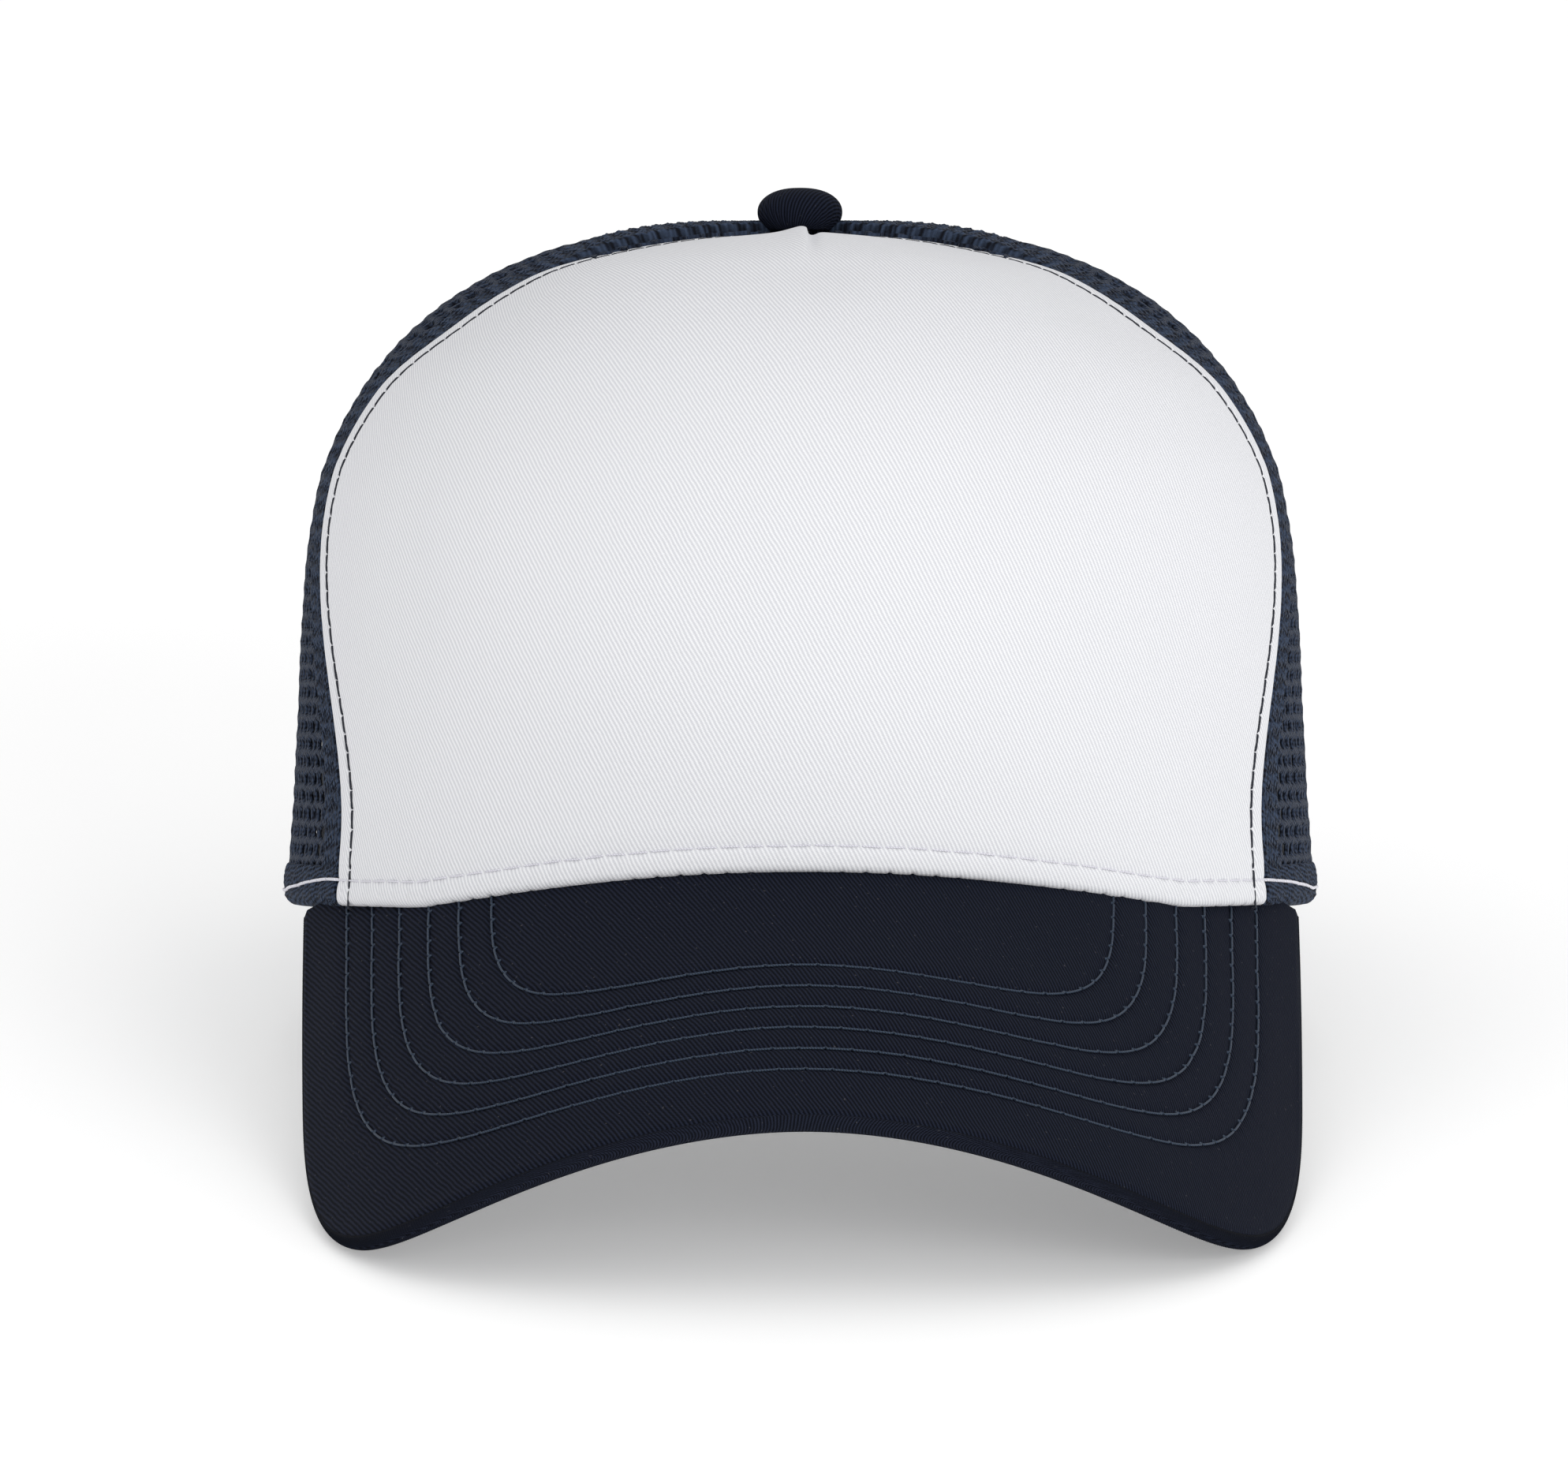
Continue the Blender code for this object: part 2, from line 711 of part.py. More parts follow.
def make_button(parent):
    top = CROWN_HEIGHT - DIP
    base = top + BUTTON_GAP
    cloth = BUTTON_CLOTH
    core_radius = BUTTON_RADIUS - cloth - CLOTH_TO_CORE
    outside = dome(BUTTON_RADIUS, base, BUTTON_HEIGHT)
    inside = dome(BUTTON_RADIUS - cloth, base, BUTTON_HEIGHT - cloth)
    lathe("button_cover", "navy_twill", outside + inside[::-1], parent)
    core = dome(core_radius, base, BUTTON_HEIGHT - cloth - CLOTH_TO_CORE)
    shank_end = top - SHANK_LENGTH
    shank = [(0.0, shank_end), (SHANK_RADIUS, shank_end), (SHANK_RADIUS, base)]
    lathe("button_core", "button_metal", shank + core, parent)
    hole = SHANK_RADIUS + CLOTH_TO_CORE
    above, below = (top - WASHER_BELOW - drop for drop in WASHER_RIM)
    middle = [(hole, top - WASHER_BELOW - WASHER_THICK), (WASHER_RADIUS, below)]
    washer = middle + [(WASHER_RADIUS, above), (hole, top - WASHER_BELOW)]
    lathe("button_washer", "button_metal", washer, parent)


# ---- standing pose -------------------------------------------------------------------------------------


def standing_lean(points):
    """The angle of the line that touches the lowest points before and behind the middle."""
    front = [p for p in points if p.y < 0.0]
    rear = [p for p in points if p.y > 0.0]
    lean = 0.0
    for _ in range(20):
        sine, cosine = math.sin(lean), math.cos(lean)
        low_front = min(front, key=lambda p: p.z * cosine - p.y * sine)
        low_rear = min(rear, key=lambda p: p.z * cosine - p.y * sine)
        lean = math.atan2(low_rear.z - low_front.z, low_rear.y - low_front.y)
    return lean


def stand_up(frame):
    """Leans the cap on its brim tips and rear hem, with the origin at its box's bottom centre."""
    bpy.context.view_layer.update()
    solids = [o for o in bpy.data.objects if o.type == "MESH" and not o.hide_render]
    points = [o.matrix_world @ v.co for o in solids for v in o.data.vertices]
    frame.rotation_euler.x = -standing_lean(points)
    bpy.context.view_layer.update()
    points = [o.matrix_world @ v.co for o in solids for v in o.data.vertices]
    low = [min(p[axis] for p in points) for axis in range(3)]
    high = [max(p[axis] for p in points) for axis in range(3)]
    frame.location = (-(low[0] + high[0]) / 2.0, -(low[1] + high[1]) / 2.0, -low[2])


def main():
    clear_scene()
    frame = empty("cap_frame", (0.0, 0.0, 0.0), None)
    make_front(frame)
    make_mesh_panels(frame)
    make_tapes(frame)
    make_sweatband(frame)
    make_brim(frame)
    make_straps(frame)
    make_button(frame)
    stand_up(frame)


main()
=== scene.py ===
"""The looks of the trucker mesh cap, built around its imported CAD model.

Shapes are laid out in millimetres in the cap's own frame, whose Z = 0 plane holds the side and rear hem,
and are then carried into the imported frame, where the cap leans back on its brim tips and rear hem.
A lift is a height above the crown's or the brim's outer surface, and a depth is below it.
"""

import json
import math

import bpy
import numpy as np
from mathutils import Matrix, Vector, kdtree


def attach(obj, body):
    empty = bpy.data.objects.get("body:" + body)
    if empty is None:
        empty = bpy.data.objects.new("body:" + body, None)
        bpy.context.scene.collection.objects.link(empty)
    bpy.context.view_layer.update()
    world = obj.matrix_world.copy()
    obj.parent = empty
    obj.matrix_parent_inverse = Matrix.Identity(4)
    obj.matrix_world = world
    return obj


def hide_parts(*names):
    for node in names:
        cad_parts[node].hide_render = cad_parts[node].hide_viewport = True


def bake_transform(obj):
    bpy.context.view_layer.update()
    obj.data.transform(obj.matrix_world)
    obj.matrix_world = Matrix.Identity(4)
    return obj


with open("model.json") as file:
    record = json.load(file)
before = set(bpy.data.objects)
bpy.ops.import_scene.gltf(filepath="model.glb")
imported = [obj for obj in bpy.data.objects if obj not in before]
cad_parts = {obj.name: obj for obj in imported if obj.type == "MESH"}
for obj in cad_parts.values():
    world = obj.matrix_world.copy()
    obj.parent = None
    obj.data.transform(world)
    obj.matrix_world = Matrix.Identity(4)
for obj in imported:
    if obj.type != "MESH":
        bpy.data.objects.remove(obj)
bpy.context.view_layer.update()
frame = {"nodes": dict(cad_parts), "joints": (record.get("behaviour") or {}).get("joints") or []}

MM = 0.001

# ---- driving dimensions, the same as the CAD model's (millimetres and degrees) ---------------------------

HALF_WIDTH = 88.0
FRONT_DEPTH = 87.0
REAR_DEPTH = 101.0
CROWN_HEIGHT = 117.0
APEX_BACK = 5.0
FRONT_WALL, FRONT_TOP = 3.6, 2.6
SIDE_WALL, SIDE_TOP = 3.9, 2.45
REAR_WALL, REAR_TOP = 2.6, 2.3
WAIST = 0.021
WAIST_END = 0.63
BUTTON_HOLE_RADIUS = 5.0
VALLEY = 2.3
VALLEY_RISE = (86.0, 101.0)
VALLEY_AHEAD, VALLEY_BEHIND = 28.0, 9.0
SETTLE_RISE = (108.0, 115.5)
DIP = 2.2
DIP_RADIUS = 14.0
FRONT_SEAM_AT_HEM = 62.5
FRONT_SEAM_ABOVE = 75.0
FRONT_SEAM_AT_TOP = 63.0
SEAM_RISE = (12.0, 68.0)
SEAM_FALL = (70.0, 116.0)
SIDE_SEAM = 121.0
TAPE_HALF_WIDTH = 6.5
TAPE_TOP_RADIUS = 20.0
SWEATBAND_TOP = 31.0
SWEATBAND_END = 150.0
ARCH_HALF_WIDTH = 41.0
ARCH_HEIGHT = 48.0
BINDING_WIDTH = 9.0
BRIM_SLOPE = math.radians(33.0)
BRIM_RADIUS = 92.0
BRIM_TAPER = 0.001
BRIM_HALF_WIDTH = 98.8
BRIM_LENGTH = 67.5
BRIM_WIDEST = -20.0
BRIM_ROUNDNESS = 2.5
HORN_HALF_WIDTH = 98.0
HORN_BACK = -70.5
BRIM_ROOT_DEPTH = 3.4
BOARD_HALF = 0.9
COVER_GAP = 0.3
COVER_THICK = 0.8
BRIM_TOP = BOARD_HALF + COVER_GAP + COVER_THICK
STRAP_LOW = 3.0
STRAP_HIGH = 18.0
HOLE_STRAP = (2.8, 4.0)
PEG_STRAP = (4.5, 5.7)
STRAP_ROOT = 37.5
STRAP_TIP = 25.0
TAB_END = 60.0
PEG_PITCH = 9.5
HOLE_RADIUS = 2.6
PEG_RADIUS = 2.0
PEG_PROUD = 1.1
BUTTON_RADIUS = 7.2
BUTTON_HEIGHT = 7.3
BUTTON_GAP = 0.1
PLEATS = 34
PLEAT_DEPTH = 0.12
SHANK_RADIUS = 1.6
SHANK_LENGTH = 5.0

# ---- stitching and cloth, in millimetres ------------------------------------------------------------------

TOPSTITCH_IN = 4.4
TOPSTITCH_PITCH = 3.35
HEM_STITCH_UP = 4.3
HEM_STITCH_PITCH = 3.9
BRIM_STITCH_PITCH = 4.3
BRIM_ROWS = 6
ROW_SAMPLE = 0.4
BRIM_ROW_PITCH = 6.0
ROW_HALF_WIDTH, ROW_HALF_WIDTH_STEP = 86.0, 6.45
ROW_REACH, ROW_REACH_STEP = 55.1, 5.98
ROW_WIDEST, ROW_WIDEST_STEP = -30.0, 1.0
ROW_ROUNDNESS, ROW_ROUNDNESS_STEP = 2.6, 0.12
STRAND_PITCH = 0.8
FOLD_HALF_WIDTH = 3.4
NET_PITCH = 3.5
NET_HOLE = (1.15, 1.05)


# ---- curves and surfaces ----------------------------------------------------------------------------------


def smoothstep(low, high, value):
    share = np.clip((value - low) / (high - low), 0.0, 1.0)
    return share * share * (3.0 - 2.0 * share)


def bump(distance, width):
    """1 on a line and falling off to 0 a few widths away."""
    return np.exp(-((distance / width) ** 2))


def reach_at(angle, share):
    """How much of the hem's width is left at this share of the crown's height."""
    cosine = np.cos(angle)
    wall = np.where(cosine > 0, FRONT_WALL, REAR_WALL)
    top = np.where(cosine > 0, FRONT_TOP, REAR_TOP)
    wall = SIDE_WALL + (wall - SIDE_WALL) * cosine**2
    top = SIDE_TOP + (top - SIDE_TOP) * cosine**2
    waist = 1.0 - WAIST * np.sin(angle) ** 2 * np.sin(math.pi * np.minimum(share / WAIST_END, 1.0))
    return waist * (1.0 - np.clip(share, 0.0, 1.0) ** wall) ** (1.0 / top)


def front_seam(height):
    back = (FRONT_SEAM_ABOVE - FRONT_SEAM_AT_HEM) * smoothstep(*SEAM_RISE, height)
    forward = (FRONT_SEAM_ABOVE - FRONT_SEAM_AT_TOP) * smoothstep(*SEAM_FALL, height)
    return np.radians(FRONT_SEAM_AT_HEM + back - forward)


def sink(angle, reach, height):
    """How far the cloth lies below the plain section: the front seam's valley and the button's dip."""
    wall = HALF_WIDTH * reach
    beyond = (np.abs(angle) - front_seam(height)) * np.maximum(wall, BUTTON_HOLE_RADIUS)
    width = np.where(beyond < 0.0, VALLEY_AHEAD, VALLEY_BEHIND)
    valley = VALLEY * smoothstep(*VALLEY_RISE, height) * bump(beyond, width)
    return valley + np.maximum(DIP - valley, 0.0) * bump(wall, DIP_RADIUS)


def crown(angle, height, lift=0.0):
    """Points on the crown: angle round from the front, height of the outer surface, and lift out of it."""
    angle, height, lift = np.broadcast_arrays(*(np.asarray(v, float) for v in (angle, height, lift)))
    share = np.clip(height / CROWN_HEIGHT, 0.0, 1.0)
    reach = reach_at(angle, share)
    length = np.where(np.cos(angle) > 0, FRONT_DEPTH, REAR_DEPTH)
    x = (HALF_WIDTH + lift) * np.sin(angle) * reach
    y = -(length + lift) * np.cos(angle) * reach + APEX_BACK * share**2
    z = np.where(height < 0.0, height, share * (CROWN_HEIGHT + lift)) - sink(angle, reach, height)
    return np.stack([x, y, z], axis=-1)


def height_at_reach(angle, reach):
    cosine = np.cos(angle)
    wall = np.where(cosine > 0, FRONT_WALL, REAR_WALL)
    top = np.where(cosine > 0, FRONT_TOP, REAR_TOP)
    wall = SIDE_WALL + (wall - SIDE_WALL) * cosine**2
    top = SIDE_TOP + (top - SIDE_TOP) * cosine**2
    return CROWN_HEIGHT * (1.0 - reach**top) ** (1.0 / wall)


def ring_radius(height):
    """About how far the crown's wall is from its axis at this height."""
    share = np.clip(height / CROWN_HEIGHT, 0.0, 1.0)
    return np.maximum(HALF_WIDTH * (1.0 - share**3) ** (1.0 / 3.0), BUTTON_HOLE_RADIUS)


def side_seam(height):
    return np.full_like(np.asarray(height, float), math.radians(SIDE_SEAM))


def rear_seam(height):
    return np.full_like(np.asarray(height, float), math.pi)


def rear_angle(x, height, lift=0.0):
    """The angle at which the rear of the crown has this x."""
    angle = np.full(np.broadcast(x, height).shape, math.pi)
    share = np.clip(height / CROWN_HEIGHT, 0.0, 1.0)
    for _ in range(10):
        reach = reach_at(angle, share)
        angle = math.pi - np.arcsin(np.clip(x / ((HALF_WIDTH + lift) * reach), -1.0, 1.0))
    return angle


def rear(x, height, lift=0.0):
    return crown(rear_angle(x, height, lift), height, lift)


def brim_middle(across, forward):
    radius = BRIM_RADIUS * (1.0 - BRIM_TAPER * forward)
    turn = across / radius
    drop = radius * (1.0 - np.cos(turn))
    y = -FRONT_DEPTH - forward * math.cos(BRIM_SLOPE)
    z = -forward * math.sin(BRIM_SLOPE) - drop
    return np.stack(np.broadcast_arrays(radius * np.sin(turn), y, z), axis=-1)


def brim_raw(across, forward, above):
    """A point this far above the brim's mid surface, before the brim is lifted to the hem."""
    step = 0.01
    middle = brim_middle(across, forward)
    sideways = brim_middle(across + step, forward) - middle
    ahead = brim_middle(across, forward + step) - middle
    normal = np.cross(ahead, sideways)
    normal /= np.linalg.norm(normal, axis=-1, keepdims=True)
    normal = np.where(normal[..., 2:] > 0, normal, -normal)
    return middle + np.asarray(above)[..., None] * normal


def brim_flat_at(angle, above, depth):
    """Where a layer of the brim passes under the crown's plan curve, in the flat sheet's coordinates."""
    x = (HALF_WIDTH - depth) * np.sin(angle)
    y = -(FRONT_DEPTH - depth) * np.cos(angle)
    across = x + 0.0
    forward = (-FRONT_DEPTH - y) / math.cos(BRIM_SLOPE)
    for _ in range(12):
        here = brim_raw(across, forward, above)
        lean = np.maximum(np.cos(across / BRIM_RADIUS), 0.3)
        across = across + (x - here[..., 0]) / lean
        forward = forward + (here[..., 1] - y) / math.cos(BRIM_SLOPE)
    return across, forward


HEM_BELOW_SEAM = 1.6
HEM_CLEAR = 0.35
corner = brim_flat_at(np.radians(FRONT_SEAM_AT_HEM), BRIM_TOP, 0.0)
BRIM_RISE = -HEM_BELOW_SEAM - brim_raw(*corner, BRIM_TOP)[2]


def brim(across, forward, above):
    points = brim_raw(across, forward, above)
    points[..., 2] += BRIM_RISE
    return points


hem_angles = np.radians(np.linspace(0.0, FRONT_SEAM_AT_HEM, 60))
hem_levels = brim(*brim_flat_at(hem_angles, BRIM_TOP, 0.0), BRIM_TOP)[:, 2] + HEM_CLEAR


def front_hem(angle):
    """The height of the front panel's lower edge, which rests on the brim."""
    level = np.interp(np.abs(angle), hem_angles, np.maximum(hem_levels, 0.0))
    return np.where(np.abs(angle) < hem_angles[-1], level, 0.0)


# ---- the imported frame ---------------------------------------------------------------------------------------

hinge = next(j for j in frame["joints"] if j["name"] == "hole_strap_swing")
LEAN = math.atan2(hinge["axis"][1], hinge["axis"][2])
TURN = np.array(
    [[1.0, 0.0, 0.0], [0.0, math.cos(LEAN), math.sin(LEAN)], [0.0, -math.sin(LEAN), math.cos(LEAN)]]
)
STRAP_MIDDLE = (STRAP_LOW + STRAP_HIGH) / 2.0
TAB_DEPTH = (HOLE_STRAP[0] + HOLE_STRAP[1]) / 2.0


def part_rear_point(x, height, depth):
    """The CAD model's own rear point, whose height doesn't change with depth."""
    angle = math.pi
    share = height / (CROWN_HEIGHT - depth)
    for _ in range(8):
        angle = math.pi - math.asin(x / ((HALF_WIDTH - depth) * float(reach_at(angle, share))))
    reach = float(reach_at(angle, share))
    y = -(REAR_DEPTH - depth) * math.cos(angle) * reach + APEX_BACK * share**2
    return np.array([x, y, height])


hinge_in_cap = part_rear_point(-STRAP_ROOT, STRAP_MIDDLE, TAB_DEPTH)
ORIGIN = np.array(hinge["pos_m"]) - TURN @ hinge_in_cap * MM


def to_world(points):
    return np.asarray(points, float) @ TURN.T * MM + ORIGIN


# ---- meshes -------------------------------------------------------------------------------------------------


def grid_quads(rows, columns, closed=False, start=0):
    """The faces of a grid of points; closed joins the last column to the first."""
    i = np.arange(rows - 1)[:, None]
    j = np.arange(columns if closed else columns - 1)[None, :]
    k = (j + 1) % columns
    a, b = i * columns + j, i * columns + k
    quads = np.stack(np.broadcast_arrays(a, b, b + columns, a + columns), axis=-1)
    return quads.reshape(-1, 4) + start


def add_piece(name, points, faces, material, body="cap", flat=None, angle=60.0):
    """A mesh object from cap-frame points and quads; flat holds each point's place on the flat cloth, in mm."""
    mesh = bpy.data.meshes.new(name)
    points = to_world(points.reshape(-1, 3))
    faces = np.asarray(faces)
    mesh.vertices.add(len(points))
    mesh.vertices.foreach_set("co", points.astype(np.float32).ravel())
    mesh.loops.add(faces.size)
    mesh.loops.foreach_set("vertex_index", faces.astype(np.int32).ravel())
    mesh.polygons.add(len(faces))
    mesh.polygons.foreach_set("loop_start", np.arange(0, faces.size, faces.shape[1], dtype=np.int32))
    mesh.update(calc_edges=True)
    mesh.validate()
    if flat is not None:
        values = np.zeros((len(points), 3), np.float32)
        values[:, :2] = np.asarray(flat).reshape(-1, 2)
        mesh.attributes.new("flat", "FLOAT_VECTOR", "POINT").data.foreach_set("vector", values.ravel())
    mesh.shade_smooth()
    mesh.set_sharp_from_angle(angle=math.radians(angle))
    mesh.materials.append(material)
    obj = bpy.data.objects.new(name, mesh)
    bpy.context.scene.collection.objects.link(obj)
    if body:
        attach(obj, body)
    return obj


def flat_of(grid):
    """Each grid point's distance from the middle column and from the first row, along the surface."""
    steps = np.linalg.norm(np.diff(grid, axis=0), axis=-1)
    up = np.concatenate([np.zeros((1, grid.shape[1])), np.cumsum(steps, axis=0)])
    steps = np.linalg.norm(np.diff(grid, axis=1), axis=-1)
    across = np.concatenate([np.zeros((grid.shape[0], 1)), np.cumsum(steps, axis=1)], axis=1)
    across -= across[:, grid.shape[1] // 2][:, None]
    return np.stack([across, up], axis=-1)


def slab_faces(rows, columns):
    """A closed sheet: an outer grid, an inner grid after it, and a rim between them."""
    count = rows * columns
    outer = grid_quads(rows, columns)
    inner = grid_quads(rows, columns, start=count)[:, ::-1]
    index = np.arange(count).reshape(rows, columns)
    rim = np.concatenate([index[0], index[1:, -1], index[-1, -2::-1], index[-2:0:-1, 0]])
    after = np.roll(rim, -1)
    wall = np.stack([after, rim, rim + count, after + count], axis=-1)
    return np.concatenate([outer, inner, wall])


def slab(name, outer, inner, material, body="cap", flat=None, flip=False, angle=60.0):
    rows, columns = outer.shape[:2]
    faces = slab_faces(rows, columns)
    if flip:
        faces = faces[:, ::-1]
    flat = flat_of(outer) if flat is None else flat
    points = np.concatenate([outer.reshape(-1, 3), inner.reshape(-1, 3)])
    flats = np.concatenate([flat.reshape(-1, 2)] * 2)
    return add_piece(name, points, faces, material, body, flats, angle)


def tube(path, normals, radius, sides=7, closed=False):
    """(points, faces, flat) of a round thread along a path."""
    ahead = np.gradient(path, axis=0)
    ahead /= np.linalg.norm(ahead, axis=1, keepdims=True) + 1e-12
    sideways = np.cross(ahead, normals)
    sideways /= np.linalg.norm(sideways, axis=1, keepdims=True) + 1e-12
    up = np.cross(sideways, ahead)
    turn = 2.0 * math.pi * np.arange(sides) / sides
    radius = np.broadcast_to(radius, len(path))[:, None, None]
    ring = sideways[:, None] * np.cos(turn)[None, :, None] + up[:, None] * np.sin(turn)[None, :, None]
    points = path[:, None] + ring * radius
    faces = grid_quads(len(path), sides, closed=True)
    length = np.concatenate([[0.0], np.cumsum(np.linalg.norm(np.diff(path, axis=0), axis=1))])
    flat = np.stack(np.broadcast_arrays(turn[None, :] / (2.0 * math.pi), length[:, None]), axis=-1)
    caps = []
    count = len(path) * sides
    middle = sides // 2
    for start in (0, count - sides):
        for k in range(1, middle + 1):
            corners = [start + k - 1, start + k, start + sides - 1 - k, start + (sides - k) % sides]
            if len(set(corners)) == 4:
                caps.append(corners)
    return points.reshape(-1, 3), faces, flat.reshape(-1, 2)


def resample(path, step):
    lengths = np.concatenate([[0.0], np.cumsum(np.linalg.norm(np.diff(path, axis=0), axis=1))])
    count = max(int(lengths[-1] / step), 2) + 1
    places = np.linspace(0.0, lengths[-1], count)
    return np.stack([np.interp(places, lengths, path[:, k]) for k in range(path.shape[1])], axis=1), places


def stitches(place, pitch, gap):
    """How deep the thread dips along its row: 0 on top of a stitch and 1 at each needle hole."""
    phase = np.abs((place / pitch) % 1.0 - 0.5) * 2.0
    return smoothstep(1.0 - gap, 1.0, phase)


def thread_row(surface, route, pitch, radius, proud, dip, gap, notch=0.0, step=0.3, shake=0.0, seed=1):
    """One row of stitches: route holds surface coordinates, and surface(coordinates, lift) gives points.
    The thread arches from hole to hole, dips by dip at each, and swings sideways by notch there."""
    ground, _ = resample(surface(route, np.zeros(len(route))), step)
    _, place = resample(surface(route, np.zeros(len(route))), step)
    lengths = np.linspace(0.0, 1.0, len(route))
    fractions = np.linspace(0.0, 1.0, len(place))
    base = surface(route, np.zeros(len(route)))
    total = np.concatenate([[0.0], np.cumsum(np.linalg.norm(np.diff(base, axis=0), axis=1))])
    fractions = np.interp(place, total, lengths)
    fine = np.stack([np.interp(fractions, lengths, route[:, k]) for k in range(route.shape[1])], axis=1)
    low, high = surface(fine, np.zeros(len(fine))), surface(fine, np.ones(len(fine)))
    normal = high - low
    normal /= np.linalg.norm(normal, axis=1, keepdims=True)
    ahead = np.gradient(low, axis=0)
    ahead /= np.linalg.norm(ahead, axis=1, keepdims=True)
    sideways = np.cross(ahead, normal)
    depth = stitches(place, pitch, gap)
    wobble = np.random.default_rng(seed).normal(0.0, shake, int(place[-1] / pitch) + 3)
    drift = np.interp(place / pitch, np.arange(len(wobble)), wobble)
    lift = proud - (proud + dip) * depth
    path = low + normal * lift[:, None] + sideways * (notch * depth + drift)[:, None]
    return tube(path, normal, radius)


def join(parts):
    """Several (points, faces, flat) sets as one."""
    start, faces = 0, []
    for points, quads, _ in parts:
        faces.append(quads + start)
        start += len(points)
    return np.concatenate([p for p, _, _ in parts]), np.concatenate(faces), np.concatenate([f for _, _, f in parts])


def thread_piece(name, rows, material, body="cap"):
    points, faces, flat = join(rows)
    return add_piece(name, points, faces, material, body, flat)


# ---- materials ------------------------------------------------------------------------------------------------


class Maker:
    """Builds one node material step by step."""

    def __init__(self, name, colour, roughness, sheen=0.0, sheen_roughness=0.5, specular=0.3, metallic=0.0):
        self.material = bpy.data.materials.new(name)
        self.material.use_nodes = True
        self.tree = self.material.node_tree
        self.shader = self.tree.nodes["Principled BSDF"]
        self.shader.inputs["Base Color"].default_value = (*colour, 1.0)
        self.shader.inputs["Roughness"].default_value = roughness
        self.shader.inputs["Metallic"].default_value = metallic
        self.shader.inputs["Specular IOR Level"].default_value = specular
        self.shader.inputs["Sheen Weight"].default_value = sheen
        self.shader.inputs["Sheen Roughness"].default_value = sheen_roughness

    def node(self, kind, **inputs):
        made = self.tree.nodes.new(kind)
        for key, value in inputs.items():
            name = key.replace("_", " ")
            socket = made.inputs[int(key[1:])] if key[0] == "i" and key[1:].isdigit() else made.inputs[name]
            if isinstance(value, bpy.types.NodeSocket):
                self.tree.links.new(value, socket)
            else:
                socket.default_value = value
        return made

    def math(self, operation, first, second=0.0, third=0.0, clamp=False):
        made = self.node("ShaderNodeMath", i0=first, i1=second, i2=third)
        made.operation = operation
        made.use_clamp = clamp
        return made.outputs[0]

    def flat(self):
        made = self.tree.nodes.new("ShaderNodeAttribute")
        made.attribute_name = "flat"
        return made.outputs["Vector"]

    def place(self):
        return self.tree.nodes.new("ShaderNodeTexCoord").outputs["Object"]

    def noise(self, vector, scale, detail=2.0, roughness=0.5):
        made = self.node("ShaderNodeTexNoise", Vector=vector, Scale=scale, Detail=detail, Roughness=roughness)
        return made.outputs["Fac"]

    def along(self, vector, direction):
        made = self.node("ShaderNodeVectorMath", i0=vector, i1=direction)
        made.operation = "DOT_PRODUCT"
        return made.outputs["Value"]

    def wave(self, phase):
        """0 to 1 and back, once for each whole step of phase."""
        turned = self.math("MULTIPLY", phase, 2.0 * math.pi)
        return self.math("MULTIPLY_ADD", self.math("SINE", turned), 0.5, 0.5)

    def mix(self, share, first, second):
        made = self.tree.nodes.new("ShaderNodeMix")
        made.data_type = "RGBA"
        for socket, value in zip((made.inputs[0], made.inputs[6], made.inputs[7]), (share, first, second)):
            if isinstance(value, bpy.types.NodeSocket):
                self.tree.links.new(value, socket)
            elif isinstance(value, tuple):
                socket.default_value = (*value, 1.0)
            else:
                socket.default_value = value
        return made.outputs[2]

    def remap(self, value, low, high, to_low=0.0, to_high=1.0):
        made = self.node("ShaderNodeMapRange", i0=value, i1=low, i2=high, i3=to_low, i4=to_high)
        return made.outputs[0]

    def colour(self, socket):
        self.tree.links.new(socket, self.shader.inputs["Base Color"])

    def roughness(self, socket):
        self.tree.links.new(socket, self.shader.inputs["Roughness"])

    def relief(self, height, depth_mm, strength=1.0):
        made = self.node("ShaderNodeBump", Height=height, Strength=strength, Distance=depth_mm * MM)
        self.tree.links.new(made.outputs["Normal"], self.shader.inputs["Normal"])


def twill(name, groove, ridge, spacing, steep, depth, sheen, fleck=None, wash=0.06, specular=0.2):
    """Twill: raised diagonal lines of short floats, with painted shade in the grooves between them, soft colour change
    and, if asked, bits of lint.
    """
    roughness = 0.85
    make = Maker(name, ridge, roughness, sheen, 0.45, specular)
    flat = make.flat()
    slope = math.radians(steep)
    wobble = make.noise(flat, 0.22, 3.0)
    fine = make.noise(flat, 2.6, 3.0, 0.6)
    across_line = make.along(flat, (math.sin(slope) / spacing, math.cos(slope) / spacing, 0.0))
    phase = make.math("ADD", across_line, make.math("MULTIPLY", wobble, 0.7))
    line = make.wave(phase)
    yarn_phase = make.along(flat, (0.9 / spacing, -2.1 / spacing, 0.0))
    yarn = make.wave(make.math("ADD", yarn_phase, make.math("MULTIPLY", fine, 0.5)))
    height = make.math("ADD", make.math("MULTIPLY", line, 0.62), make.math("MULTIPLY", yarn, 0.22))
    height = make.math("MULTIPLY_ADD", fine, 0.35, height)
    # the colour goes from groove to ridge with the relief's height: the darker grooves are painted shade, mixed with
    # random yarn tone from the fine noise
    shade = make.remap(height, 0.3, 0.95)
    colour = make.mix(shade, groove, ridge)
    cloudy = make.remap(make.noise(flat, 0.035, 4.0, 0.6), 0.3, 0.7)
    darker = tuple(c * (1.0 - wash) for c in ridge)
    colour = make.mix(make.math("MULTIPLY", cloudy, 0.5), colour, make.mix(shade, groove, darker))
    if fleck:
        specks = make.remap(make.noise(flat, 1.35, 1.0), 0.735, 0.77)
        colour = make.mix(make.math("MULTIPLY", specks, 0.55), colour, fleck)
    make.colour(colour)
    make.roughness(make.remap(fine, 0.3, 0.7, roughness - 0.05, roughness + 0.08))
    make.relief(height, depth)
    return make.material


